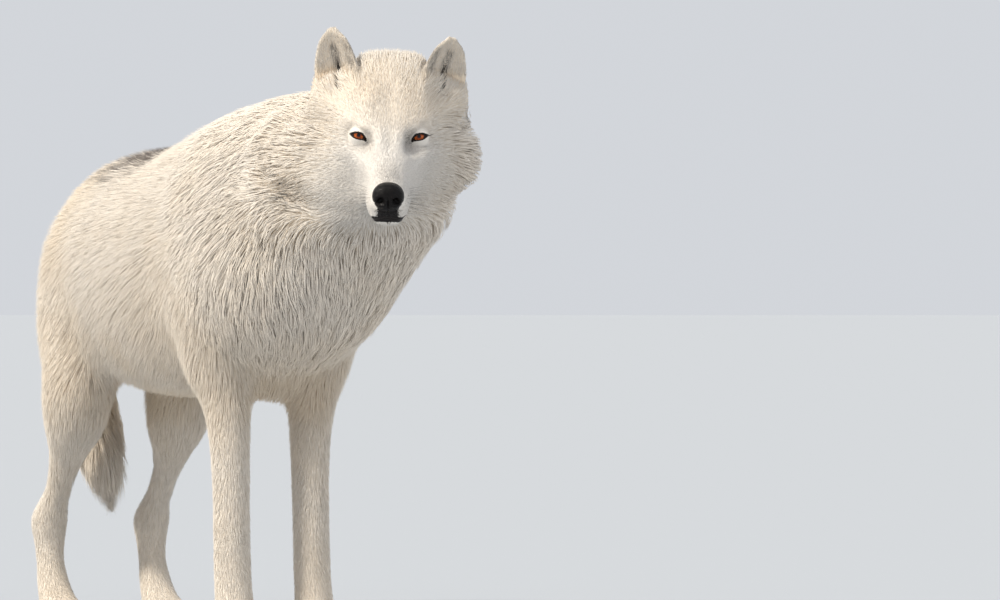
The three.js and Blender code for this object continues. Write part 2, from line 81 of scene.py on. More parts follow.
# %% Camera, floor and light
VIEW_FROM = np.array([0.9135, -0.4067, 0.0])
PICTURE_RIGHT = np.array([0.4067, 0.9135, 0.0])
UP = np.array([0.0, 0.0, 1.0])
AIM = np.array([0.0649, 0.4285, 0.52])
DISTANCE = 9.1
LENS_MM = 208.1
SENSOR_MM = 36
SIGHT = 200  # metres that the camera sees

camera = bpy.data.objects.new("camera", bpy.data.cameras.new("camera"))
bpy.context.scene.collection.objects.link(camera)
camera.location = Vector(AIM + VIEW_FROM * DISTANCE)
camera.rotation_euler = Vector(-VIEW_FROM).to_track_quat("-Z", "Y").to_euler()
camera.data.lens = LENS_MM
camera.data.sensor_width = SENSOR_MM
camera.data.clip_end = SIGHT
bpy.context.scene.camera = camera


def light_of(name, kind, power, colour):
    light = bpy.data.objects.new(name, bpy.data.lights.new(name, kind))
    bpy.context.scene.collection.objects.link(light)
    light.data.energy = power
    light.data.color = colour
    return light


SUN_FROM = PICTURE_RIGHT * -0.62 + VIEW_FROM * 0.42 + UP * 0.66
SUN_POWER = 3.1
SUN_ACROSS = math.radians(9)
sun = light_of("sun", "SUN", SUN_POWER, (1.0, 0.94, 0.84))
sun.rotation_euler = Vector(SUN_FROM).to_track_quat("Z", "Y").to_euler()
sun.data.angle = SUN_ACROSS

FILL_AT = PICTURE_RIGHT * 3.4 + VIEW_FROM * 3.2 + UP * 1.6
FILL_TOWARDS = UP * 0.5
FILL_WATTS = 12
FILL_ACROSS = 2.6
fill = light_of("fill", "AREA", FILL_WATTS, (0.93, 0.96, 1.0))
fill.location = Vector(FILL_AT)
fill.rotation_euler = Vector(FILL_TOWARDS - FILL_AT).to_track_quat("-Z", "Y").to_euler()
fill.data.shape = "DISK"
fill.data.size = FILL_ACROSS
bpy.context.scene.view_settings.view_transform = "Standard"

SKY = (0.90, 0.93, 0.98, 1)
SKY_STRENGTH = 0.72
world = bpy.data.worlds.new("pale sky")
world.use_nodes = True
background = world.node_tree.nodes["Background"]
background.inputs["Color"].default_value = SKY
background.inputs["Strength"].default_value = SKY_STRENGTH
bpy.context.scene.world = world

FLOOR_SIZE = 400
FLOOR_COLOUR = (0.51, 0.535, 0.565, 1)
bpy.ops.mesh.primitive_plane_add(size=FLOOR_SIZE)
floor = bpy.context.active_object
floor.name = "floor"
floor_finish = bpy.data.materials.new("pale floor")
floor_finish.use_nodes = True
floor_shader = floor_finish.node_tree.nodes["Principled BSDF"]
floor_shader.inputs["Base Color"].default_value = FLOOR_COLOUR
floor_shader.inputs["Roughness"].default_value = 0.9
floor.data.materials.append(floor_finish)
print("camera at", [round(v, 3) for v in camera.location])

# %% [markdown]
# ## Small tools
# A scalar on a regular grid stands in for the distance to a surface. Its value and slope can be read
# anywhere between the grid's points, which is how the tufts find their way over the body.

# %% Grids and curves
def unit(vectors):
    return vectors / np.maximum(np.linalg.norm(vectors, axis=-1, keepdims=True), 1e-9)


def ramp(value, start, end):
    """0 before start, 1 after end, and smooth between them."""
    share = np.clip((value - start) / (end - start), 0, 1)
    return share * share * (3 - 2 * share)


def mix(a, b, share):
    return a + (b - a) * share


class Grid:
    """Values on a regular grid of points: one number, or one row of numbers, at each."""

    def __init__(self, values, origin, cell):
        self.values = values
        self.origin = np.asarray(origin, float)
        self.cell = cell
        self.last = np.array(values.shape[:3]) - 2

    def at(self, points):
        place = (points - self.origin) / self.cell
        start = np.clip(np.floor(place).astype(int), 0, self.last)
        share = np.clip(place - start, 0, 1)
        total = 0
        for step in np.ndindex(2, 2, 2):
            weight = np.prod(np.where(step, share, 1 - share), axis=1)
            x, y, z = (start + step).T
            found = self.values[x, y, z]
            total = total + (found * weight if found.ndim == 1 else found * weight[:, None])
        return total

    def slope(self, points):
        step = self.cell * 0.75
        sides = [(self.at(points + d) - self.at(points - d)) / (2 * step) for d in np.eye(3) * step]
        return np.stack(sides, axis=1)


def blur(values, sigma):
    """A Gaussian blur along the three axes of a grid, sigma in cells."""
    reach = math.ceil(2.5 * sigma)
    kernel = np.exp(-0.5 * (np.arange(-reach, reach + 1) / sigma) ** 2)
    kernel /= kernel.sum()
    for axis in range(3):
        edges = [(reach, reach) if a == axis else (0, 0) for a in range(values.ndim)]
        padded = np.pad(values, edges, mode="edge")
        length = values.shape[axis]
        values = sum(
            weight * np.take(padded, np.arange(n, n + length), axis=axis)
            for n, weight in enumerate(kernel)
        )
    return values


def read(collection, name, width, kind=np.float32):
    """One property of every item in a mesh's collection, a row for each."""
    values = np.empty(len(collection) * width, kind)
    collection.foreach_get(name, values)
    return values.reshape(-1, width)


def triangles_of(names):
    """Every vertex and triangle of the named solids, as two arrays."""
    points, faces, count = [], [], 0
    for name in names:
        mesh = NODES[name].data
        mesh.calc_loop_triangles()
        points.append(read(mesh.vertices, "co", 3))
        faces.append(read(mesh.loop_triangles, "vertices", 3, np.int32) + count)
        count += len(mesh.vertices)
    return np.concatenate(points), np.concatenate(faces).astype(np.uint32)


def middle(node):
    low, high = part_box(node)
    return (np.array(low) + np.array(high)) / 2


FLESH = sorted(name for name in NODES if not name.startswith(("eye_", "claw_")))
print("nodes of flesh", len(FLESH))

# %% [markdown]
# ## The head's own axes
# The face is easiest to shape from midway between the eyes: x ahead along the skull, y to the wolf's
# left and z up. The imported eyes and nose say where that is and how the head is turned.

# %% The head's axes
EYE_BACK = 5 * MM
NOSE_BELOW = math.radians(22.4)  # how far the nose lies below the skull's axis, seen from the eyes

head_y = unit(middle("eye_left") - middle("eye_right"))
between_eyes = (middle("eye_left") + middle("eye_right")) / 2
to_nose = middle("nose") - between_eyes
to_nose = unit(to_nose - head_y * (to_nose @ head_y))
across_up = np.cross(to_nose, head_y)
head_x = to_nose * math.cos(NOSE_BELOW) + across_up * math.sin(NOSE_BELOW)
head_z = np.cross(head_x, head_y)
HEAD_AXES = np.stack([head_x, head_y, head_z])
HEAD_AT = between_eyes + head_x * EYE_BACK


def to_head(points):
    """Row frame to the head's own frame, in millimetres."""
    return (points - HEAD_AT) @ HEAD_AXES.T / MM


def from_head(points):
    return np.asarray(points, float) * MM @ HEAD_AXES + HEAD_AT


print("head at", HEAD_AT.round(3), "looks along", head_x.round(3))
print("nose in the head's frame", to_head(middle("nose")[None]).round(1))

# %% [markdown]
# ## What the coat is like on each part
# A wolf's winter coat is longest on the neck, shoulders and tail, and short on the legs, paws and
# face. One row for each part says how deep the coat is, how long its tufts are, how wide, how far
# apart, and which way they lie. The rows are spread over a grid and blurred, so that they run into
# each other as they do on the animal.

# %% The coat's table
# part: depth, length, width and spacing of tufts in mm, and the way that they lie along X and Z
COAT_ROWS = {
    "trunk": (30, 62, 1.3, 2.9, -1.0, -0.30),
    "neck": (36, 80, 1.5, 3.0, -0.8, -0.75),
    "upperarm": (18, 42, 1.3, 2.7, -0.3, -1.0),
    "forearm": (6, 20, 1.05, 2.4, -0.1, -1.0),
    "forepaw": (4, 12, 1.05, 2.4, 0.25, -1.0),
    "thigh": (20, 48, 1.3, 2.8, -0.5, -0.9),
    "shank": (8, 26, 1.15, 2.5, -0.3, -1.0),
    "metatarsus": (4.5, 15, 1.05, 2.4, -0.1, -1.0),
    "hindpaw": (4, 11, 1.05, 2.4, 0.4, -1.0),
    "tail_root": (26, 76, 1.6, 3.0, -0.35, -1.0),
    "tail_end": (26, 80, 1.6, 2.8, 0.4, -1.0),
    "head": (12, 26, 1.3, 2.5, -1.0, -0.2),
    "jaw": (5, 14, 1.1, 2.3, -1.0, -0.2),
    "nose": (2, 5, 0.9, 2.2, -1.0, -0.2),
    "ear": (2, 12, 1.1, 2.2, -0.2, 1.0),
}
PARTS = list(COAT_ROWS)
ROW = np.array([COAT_ROWS[part] for part in PARTS], float)


def part_of(name):
    return next(part for part in PARTS if name == part or name.startswith(part + "_"))


def areas_of(corners):
    """Areas of triangles, from the places of their corners."""
    return np.linalg.norm(np.cross(corners[:, 1] - corners[:, 0], corners[:, 2] - corners[:, 0]), axis=1) / 2


def scatter(corners, weights, count):
    """Random points on triangles, more on those with more weight."""
    ends = np.cumsum(weights) / weights.sum()
    chosen = np.searchsorted(ends, (np.arange(count) + rng.random(count)) / count).clip(0, len(corners) - 1)
    share = rng.random((count, 2))
    share = np.where(share.sum(axis=1, keepdims=True) > 1, 1 - share, share)
    share = np.column_stack([1 - share.sum(axis=1), share])
    return chosen, share, (corners[chosen] * share[:, :, None]).sum(axis=1)


PART_CELL = 16 * MM
PART_BLUR = 1.6
SAMPLES_PER_NODE = 3000
low = np.array(cad_box[0]) - 4 * PART_CELL
counts = np.ceil((np.array(cad_box[1]) + 4 * PART_CELL - low) / PART_CELL).astype(int)
sums = np.zeros((*counts, ROW.shape[1] + 1))
for name in FLESH:
    node_points, node_faces = triangles_of([name])
    corners = node_points[node_faces]
    samples = scatter(corners, areas_of(corners), SAMPLES_PER_NODE)[2]
    cells = tuple(np.round((samples - low) / PART_CELL).astype(int).T)
    low_corner, high_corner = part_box(name)
    weight = (high_corner - low_corner).length ** 2
    np.add.at(sums, cells, weight * np.append(ROW[PARTS.index(part_of(name))], 1))
sums = blur(sums, PART_BLUR) + 1e-12
coat_rows = Grid(sums[..., :-1] / sums[..., -1:], low, PART_CELL)
print("coat table over", tuple(counts), "points")

# %% [markdown]
# ## The outline as a distance
# The solids are parted by hair-thin cuts. A level set is a grid that holds the distance to the nearest
# surface, negative inside. Taken a little outside the solids it closes the cuts, and a second one made
# from that closed shape is smooth and deep enough to find the skin far below the coat.

# %% The outline as a distance
CELL = 6 * MM
CLOSE_CUTS = 1.5 * MM
DEEPEST_COAT = 78 * MM
OUTLINE_BLUR = 1.2


def distance_to(points, triangles, cell, band, low, high):
    """The distance to a closed surface on a grid from low to high, which count whole cells."""
    across = openvdb.createLinearTransform(voxelSize=cell)
    raw = openvdb.FloatGrid.createLevelSetFromPolygons(
        points, triangles=triangles, transform=across, halfWidth=3.0
    )
    shell, _, quads = raw.convertToPolygons(CLOSE_CUTS, 0.0)
    deep = openvdb.FloatGrid.createLevelSetFromPolygons(
        shell, quads=quads, transform=across, halfWidth=band / cell
    )
    values = np.zeros(high - low + 1, np.float32)
    deep.copyToArray(values, ijk=tuple(int(n) for n in low))
    return values + CLOSE_CUTS


body_low = np.floor(np.array(cad_box[0]) / CELL).astype(int) - 3
body_high = np.ceil(np.array(cad_box[1]) / CELL).astype(int) + 3
outline = distance_to(*triangles_of(FLESH), CELL, DEEPEST_COAT, body_low, body_high)
outline = blur(outline, OUTLINE_BLUR)
print("outline on", outline.shape, "points, deepest", round(float(outline.min()), 3))

# %% [markdown]
# ## The head's forms
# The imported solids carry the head's outline. The face needs more: brows over the eyes, a hollow stop,
# cheekbones, whisker pads and a chin, and the crest of fur over crown, temples and cheeks. Each is a
# soft swelling or hollow with a place, a reach and a height in the head's own axes. The ears are thin
# cupped sheets, so they are worked out by formula.

# %% The head's forms
FACE_FORMS = {
    # form: middle, reach, height in mm; what lies off the middle is made on both sides
    "brow": ((2, 40, 18), (16, 15, 8), 5.0),
    "brow_tail": ((-22, 58, 16), (14, 12, 9), 3.0),
    "socket": ((14, 24, -6), (13, 7, 10), -3.0),
    "under_eye": ((4, 42, -14), (14, 15, 9), 2.0),
    "stop": ((28, 0, 10), (20, 9, 18), -3.5),
    "furrow": ((-22, 0, 48), (30, 8, 26), -3.0),
    "cheekbone": ((-8, 58, -24), (20, 14, 12), 5.0),
    "muzzle_side": ((58, 31, -48), (26, 9, 15), -4.0),
    "whisker_pad": ((98, 22, -64), (20, 10, 13), 4.0),
    "bridge": ((80, 0, -20), (30, 11, 10), 1.5),
    "lower_lip": ((104, 10, -90), (18, 12, 7), 3.0),
    "crown": ((-95, 0, 84), (48, 75, 32), 12.0),
    "crown_side": ((-100, 44, 76), (34, 20, 20), 8.0),
    "temple": ((-95, 100, 0), (36, 30, 30), 9.0),
    "cheek_ruff": ((-85, 108, -50), (46, 42, 55), 11.0),
    "behind_nose": ((124, 9, -52), (14, 13, 15), -7.0),
}


def head_share(at):
    """1 on the head and 0 on the body, at points in the head's own frame."""
    return ramp(at[:, 0], -165, -120) * ramp(at[:, 2], -170, -125)


def face_relief(at):
    """How far the face's forms raise the skin, in mm."""
    folded = at * [1, 0, 1] + np.abs(at) * [0, 1, 0]
    total = np.zeros(len(at))
    for form_middle, reach, height in FACE_FORMS.values():
        total += height * np.exp(-(((folded - form_middle) / reach) ** 2).sum(axis=1))
    return total


def head_depth(at):
    """Depth of the head's coat in metres, at points in the head's own frame in millimetres."""
    x, y, z = at.T
    side = np.abs(y)
    depth = 2.6 + 4 * ramp(x, 30, -20) + 7 * ramp(x, -20, -90) * ramp(z, 20, 60)
    depth = depth + 24 * ramp(side, 45, 100) * ramp(x, 0, -70) * ramp(z, 30, -20)
    depth = depth + 16 * ramp(x, 40, -60) * ramp(z, -80, -120)
    return mix(depth, 34, ramp(x, -85, -165)) * MM


EAR_BASE = np.array([-92.0, 72.0, 40.0])
EAR_TIPS = {1: np.array([-104.0, 87.0, 117.0]), -1: np.array([-104.0, 83.0, 128.0])}
EAR_FACING = math.radians(30)  # how far the opening turns out from straight ahead
EAR_LENGTH = 79.0
EAR_SHARES = [-0.4, 0.0, 0.3, 0.55, 0.75, 0.88, 0.96, 1.0]
EAR_HALF_WIDTHS = [32, 36, 35, 31, 24.5, 18, 11, 5]
EAR_CUPS = [20, 18, 15, 11, 7, 4, 2, 1]
EAR_HALF_THICKNESS = 3.0


def ear_places(at):
    """Share along the nearer ear, place outwards across it and place ahead of its sheet."""
    found = np.zeros((len(at), 3))
    for side, tip in EAR_TIPS.items():
        mirror = np.array([1, side, 1])
        base = EAR_BASE * mirror
        axis = unit(tip * mirror - base)
        facing = np.array([math.cos(EAR_FACING), side * math.sin(EAR_FACING), 0.0])
        facing = unit(facing - axis * (facing @ axis))
        outward = np.cross(axis, facing) * side
        from_base = at - base
        along = from_base @ axis / np.linalg.norm(tip * mirror - base)
        across = from_base @ outward
        cup = np.interp(along, EAR_SHARES, EAR_CUPS)
        half = np.interp(along, EAR_SHARES, EAR_HALF_WIDTHS)
        ahead = from_base @ facing - 4 + cup * (1 - np.clip(across / half, -1.3, 1.3) ** 2)
        near = at[:, 1] * side > 0
        found[near] = np.column_stack([along, across, ahead])[near]
    return found


def ear_distance(at):
    """Distance in mm to the ears' cupped sheets, each a rounded edge round a thin middle."""
    along, across, ahead = ear_places(at).T
    half = np.interp(along, EAR_SHARES, EAR_HALF_WIDTHS)
    past_edge = np.maximum(np.abs(across) - half, 0)
    past_tip = np.maximum(along - 1, 0) * EAR_LENGTH
    below = np.maximum(-0.4 - along, 0) * EAR_LENGTH
    return np.sqrt(past_edge**2 + past_tip**2 + below**2 + ahead**2) - EAR_HALF_THICKNESS


def ear_share(at):
    """1 on the ears above the skull's fur."""
    along = ear_places(at)[:, 0]
    return ramp(along, 0.12, 0.38) * ramp(ear_distance(at), 14, 7)


def join(a, b, width):
    """The nearer of two distances, with a fillet where they meet."""
    near = np.clip(width - np.abs(a - b), 0, None) / width
    return np.minimum(a, b) - near * near * width / 4


print("relief at a brow", face_relief(np.array([[2.0, 40.0, 18.0]])).round(2), "mm")

# %% [markdown]
# ## The skin's distance
# The skin is where the outline's distance equals the coat's depth. On the body a 6 mm grid is fine
# enough. The head has thin ears and small forms, so its part of the grid is worked out again at 3 mm,
# with the depth of the fur written in the head's own axes: almost nothing on the muzzle and ears, and
# a deep ruff on the cheeks. The outline itself is kept too, because no tuft may grow past it.

# %% The skin's distance
FINE = CELL / 2
HEAD_REACH = 190 * MM
HEAD_NODES = ["head", "jaw", "nose", "neck", "eye_left", "eye_right"]
DEEPEST_HEAD_COAT = 54 * MM
HEAD_BLUR = 1.0
EAR_COAT = 2.5 * MM


def twice_as_fine(values):
    """The same grid with half the spacing, each new point midway between two old ones."""
    for axis in range(3):
        count = values.shape[axis]
        first = np.take(values, np.arange(count - 1), axis=axis)
        second = np.take(values, np.arange(1, count), axis=axis)
        both = np.stack([first, (first + second) / 2], axis=axis + 1)
        shape = list(values.shape)
        shape[axis] = 2 * (count - 1)
        values = both.reshape(shape)
    return values


def grid_places(low, shape, cell):
    axes = [(low[n] + np.arange(shape[n])) * cell for n in range(3)]
    return np.stack(np.meshgrid(*axes, indexing="ij"), axis=-1).reshape(-1, 3)


body_places = grid_places(body_low, outline.shape, CELL)
skin = (outline.reshape(-1) + coat_rows.at(body_places)[:, 0] * MM).reshape(outline.shape)
skin = twice_as_fine(skin.astype(np.float32))
limit = twice_as_fine(outline.astype(np.float32))
fine_low = 2 * body_low

head_low = np.maximum(np.floor((HEAD_AT - HEAD_REACH) / FINE).astype(int), fine_low)
fine_high = fine_low + np.array(skin.shape) - 1
head_high = np.minimum(np.ceil((HEAD_AT + HEAD_REACH) / FINE).astype(int), fine_high)
head_shape = tuple(head_high - head_low + 1)
head_outline = distance_to(*triangles_of(HEAD_NODES), FINE, DEEPEST_HEAD_COAT, head_low, head_high)
head_outline = blur(head_outline, HEAD_BLUR).reshape(-1)
in_head = to_head(grid_places(head_low, head_shape, FINE))
relief = face_relief(in_head) * MM
head_skin = head_outline + head_depth(in_head) - relief
ears = ear_distance(in_head) * MM
ear_fillet = (10 + 20 * ramp(ear_places(in_head)[:, 0], 0.45, 0.1)) * MM
head_skin = join(head_skin, ears, ear_fillet)
head_outline = join(head_outline - np.maximum(relief, 0), ears - EAR_COAT, 8 * MM)
share = head_share(in_head)
window = tuple(slice(a, b + 1) for a, b in zip(head_low - fine_low, head_high - fine_low))
skin[window] = mix(skin[window].reshape(-1), head_skin, share).reshape(head_shape)
limit[window] = mix(limit[window].reshape(-1), head_outline, share).reshape(head_shape)
skin_distance = Grid(skin, fine_low * FINE, FINE)
outline_distance = Grid(limit, fine_low * FINE, FINE)
print("skin on", skin.shape, "points, the head's part", head_shape)

# %% [markdown]
# ## The eyes' openings
# A wolf's eye is a narrow almond: the inner corner runs down into a dark tear corner, and the upper lid
# cuts across the iris. The openings are drawn on the plane that faces the viewer, in millimetres
# outwards and upwards from the middle of the iris. Two closed curves bound the black rim of the lids.
# Closed lids are laid over both eyeballs first, and the openings are pushed in behind the eyes later.

# %% The eyes' openings
GAZE = unit(VIEW_FROM @ HEAD_AXES.T)
EYE_AT = {side: to_head(middle(name)[None])[0] for side, name in ((1, "eye_left"), (-1, "eye_right"))}
EYE_RADIUS = 12.0
LID_THICKNESS = 1.3
LID_FILLET = 9.0
LID_REACH = 32
BEHIND_EYE = 9.5
OPENING = [
    (10.5, 2.2), (5.6, 3.6), (0, 3.4), (-5.6, 0.6), (-10.6, -6.4), (-5.6, -4.9), (0, -4.6), (5.6, -2.6)
]
RIM = [
    (14.2, 3.0), (7.5, 5.9), (0, 5.9), (-7.5, 2.4), (-14.2, -10.8), (-7.0, -7.0), (0, -6.1), (7.5, -3.6)
]
RIM_REACH = 26
CURVE_STEPS = 8


def closed_curve(points):
    """A smooth closed line through the points, with the same number of steps between each two."""
    points = np.array(points, float)
    before, after, beyond = np.roll(points, 1, 0), np.roll(points, -1, 0), np.roll(points, -2, 0)
    steps = np.arange(CURVE_STEPS)[:, None, None] / CURVE_STEPS
    line = points + steps * (after - before) / 2
    line = line + steps**2 * (before - 2.5 * points + 2 * after - beyond / 2)
    line = line + steps**3 * (1.5 * (points - after) + (beyond - before) / 2)
    return line.transpose(1, 0, 2).reshape(-1, 2)


def eye_axes(side):
    """Outwards, up and ahead for one eye, square to the gaze."""
    outwards = unit(np.array([0.0, side, 0.0]) - GAZE * GAZE[1] * side)
    return outwards, np.cross(GAZE, outwards) * side, GAZE


def in_eye(at, side):
    """Points of the head's frame as outwards, up and ahead of an eye's middle."""
    return (at - EYE_AT[side]) @ np.stack(eye_axes(side)).T


def inside_curve(flat, curve):
    """Distance to a closed curve in its plane, negative inside."""
    steps = flat[:, None] - curve[None]
    nearest = np.hypot(steps[..., 0], steps[..., 1]).min(axis=1)
    ends = np.roll(curve, -1, 0)
    above = (curve[None, :, 1] > flat[:, None, 1]) != (ends[None, :, 1] > flat[:, None, 1])
    run, rise = (ends - curve).T
    cross = curve[:, 0] + (flat[:, None, 1] - curve[:, 1]) * run / np.where(rise == 0, 1, rise)
    odd = (above & (flat[:, None, 0] < cross)).sum(axis=1) % 2
    return np.where(odd == 1, -nearest, nearest)


def from_rim(at, ahead_of=-RIM_REACH):
    """Distance in mm from the black rims as the viewer sees them, negative inside them."""
    found = np.full(len(at), float(RIM_REACH))
    for side in EYE_AT:
        place = in_eye(at, side)
        close = np.flatnonzero((np.linalg.norm(place, axis=1) < RIM_REACH) & (place[:, 2] > ahead_of))
        if len(close):
            found[close] = inside_curve(place[close, :2], closed_curve(RIM))
    return found


def lidded(points, distance):
    """The skin's distance with closed lids over the eyeballs."""
    at = to_head(points)
    distance = distance / MM
    for side in EYE_AT:
        reach = np.linalg.norm(at - EYE_AT[side], axis=1)
        close = np.flatnonzero(reach < LID_REACH)
        distance[close] = join(distance[close], reach[close] - EYE_RADIUS - LID_THICKNESS, LID_FILLET)
    return distance * MM


def opened(points):
    """Points of the closed lids, those within an opening pushed in behind the eyeball's surface."""
    at = to_head(points)
    for side in EYE_AT:
        place = in_eye(at, side)
        close = np.flatnonzero((np.linalg.norm(place, axis=1) < LID_REACH) & (place[:, 2] > 0))
        gap = inside_curve(place[close, :2], closed_curve((np.array(OPENING) + np.array(RIM)) / 2))
        within = close[gap < 0]
        behind = np.sqrt(np.maximum(BEHIND_EYE**2 - (place[within, :2] ** 2).sum(axis=1), 1))
        place[within, 2] = np.minimum(place[within, 2], behind)
        at[within] = place[within] @ np.stack(eye_axes(side)) + EYE_AT[side]
    return from_head(at)


head_places = grid_places(head_low, head_shape, FINE)
skin[window] = lidded(head_places, skin[window].reshape(-1)).reshape(head_shape)
skin_distance = Grid(skin, fine_low * FINE, FINE)
print("gaze in the head's frame", GAZE.round(3), "eyes", {s: a.round(1) for s, a in EYE_AT.items()})

# %% [markdown]
# ## The skin
# The level set's own mesher draws one closed net of faces through the grid. The face is then divided
# once and the lids twice, and every vertex is moved along the slope until it lies exactly on the skin,
# which takes the grid's steps away. Last, the points within the eyes' openings are pushed in.

# %% The skin
SKIN_BAND = 4 * FINE
SKIN_DETAIL = 0.01  # how far flat stretches of the net are made coarser


def settle(points, steps=3):
    """Moves points along the slope onto the skin."""
    for _ in range(steps):
        slope = skin_distance.slope(points)
        steep = np.maximum((slope**2).sum(axis=1, keepdims=True), 0.3)
        points = points - slope * (skin_distance.at(points)[:, None] / steep)
    return points


def new_mesh(name, points, faces, sides):
    """A mesh from arrays, every face with the same number of sides."""
    mesh = bpy.data.meshes.new(name)
    mesh.vertices.add(len(points))
    mesh.vertices.foreach_set("co", np.asarray(points, np.float32).ravel())
    mesh.loops.add(len(faces) * sides)
    mesh.loops.foreach_set("vertex_index", np.asarray(faces, np.int32).ravel())
    mesh.polygons.add(len(faces))
    mesh.polygons.foreach_set("loop_start", np.arange(len(faces), dtype=np.int32) * sides)
    mesh.update(calc_edges=True)
    mesh.polygons.foreach_set("use_smooth", np.ones(len(faces), bool))
    return mesh


def new_object(name, mesh, material):
    """A piece that stands with the wolf."""
    piece = bpy.data.objects.new(name, mesh)
    bpy.context.scene.collection.objects.link(piece)
    mesh.materials.append(material)
    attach(piece, BODY)
    return piece


def divide(net, near):
    """Cuts in four every face of a net whose middle is near."""
    middles_now = np.array([face.calc_center_median() for face in net.faces])
    chosen = np.flatnonzero(near(to_head(middles_now)))
    net.faces.ensure_lookup_table()
    edges = {edge for number in chosen for edge in net.faces[number].edges}
    bmesh.ops.subdivide_edges(net, edges=list(edges), cuts=1, use_grid_fill=True)


def on_face(at):
    x, y, z = at.T
    return (x > -30) & (np.abs(y) < 68) & (z > -100) & (z < 34)


def by_eyes(at):
    return np.minimum(*(np.linalg.norm(at - place, axis=1) for place in EYE_AT.values())) < 2 * EYE_RADIUS


level_set = openvdb.FloatGrid(SKIN_BAND)
level_set.transform = openvdb.createLinearTransform(voxelSize=FINE)
level_set.copyFromArray(
    np.clip(skin, -SKIN_BAND, SKIN_BAND), ijk=tuple(int(n) for n in fine_low), tolerance=1e-7
)
net_points, net_triangles, net_quads = level_set.convertToPolygons(0.0, SKIN_DETAIL)
skin_mesh = bpy.data.meshes.new("skin")
net_faces = net_triangles.tolist() + net_quads.tolist()
skin_mesh.from_pydata(settle(net_points.astype(float)).tolist(), [], net_faces)
net = bmesh.new()
net.from_mesh(skin_mesh)
divide(net, on_face)
divide(net, by_eyes)
bmesh.ops.recalc_face_normals(net, faces=net.faces)
net.to_mesh(skin_mesh)
net.free()
skin_points = settle(read(skin_mesh.vertices, "co", 3).astype(float), 2)
round_eyes = np.flatnonzero(by_eyes(to_head(skin_points)))
skin_points[round_eyes] = opened(skin_points[round_eyes])
skin_mesh.vertices.foreach_set("co", skin_points.astype(np.float32).ravel())
skin_mesh.polygons.foreach_set("use_smooth", np.ones(len(skin_mesh.polygons), bool))
skin_mesh.update()
print("skin", len(skin_points), "points", len(skin_mesh.polygons), "faces")

# %% [markdown]
# ## Markings
# The coat is warm white. Five shares say where it differs: dark tips over the back behind the withers,
# warm ochre on rump, belly, chest and tail, on the belly partly painted shade of the underside, grey on the
# face and along an edge of each ear, with painted shade in the ears' hollows and by the left eye's inner
# corner, clean white on the muzzle and cheeks, and black skin at the lips and eyes, with a painted shadow
# along each ear's fold. They depend only on the place on the body, so the skin and the coat agree.

# %% Markings
SADDLE_FRONT = -0.045  # the dark tips begin sharply here, behind the withers
SADDLE_BACK = -0.440
SADDLE_DARKEST = -0.160
MARKS = ["saddle", "warm", "grey", "pale", "dark"]
MOUTH_LINE = np.array([
    [122, 0, -80], [119, 9, -82], [112, 17, -85], [94, 25, -89], [70, 29, -88], [50, 32, -85]
], float)
EAR_FOLD = np.array([[50, 6], [28, 5], [2, -9]], float)  # along and across the ear, in mm
FACE_GREYS = [
    # middle, reach and strength of a grey patch in the head's own axes
    ((-10, -20, 56), (40, 11, 22), 0.50),
    # on the wolf's left only, by the eye's inner corner: painted shade of the socket on the face's shaded
    # side
    ((8, 26, 2), (16, 9, 16), 0.8),
    ((94, 0, -24), (30, 17, 11), 0.75),
]


def spot(at, middle_at, reach):
    return np.exp(-(((at - np.array(middle_at)) / reach) ** 2).sum(axis=1))


def to_stripe(at, line):
    """Distance from points to a line of points."""
    nearest = np.full(len(at), 1e9)
    for start, end in zip(line[:-1], line[1:]):
        step = end - start
        share = np.clip((at - start) @ step / (step @ step), 0, 1)
        nearest = np.minimum(nearest, np.linalg.norm(at - start - share[:, None] * step, axis=1))
    return nearest


def to_line(at, line):
    """Distance in mm from points to a line on the face, for both of its sides."""
    return to_stripe(at * [1, 0, 1] + np.abs(at) * [0, 1, 0], line)


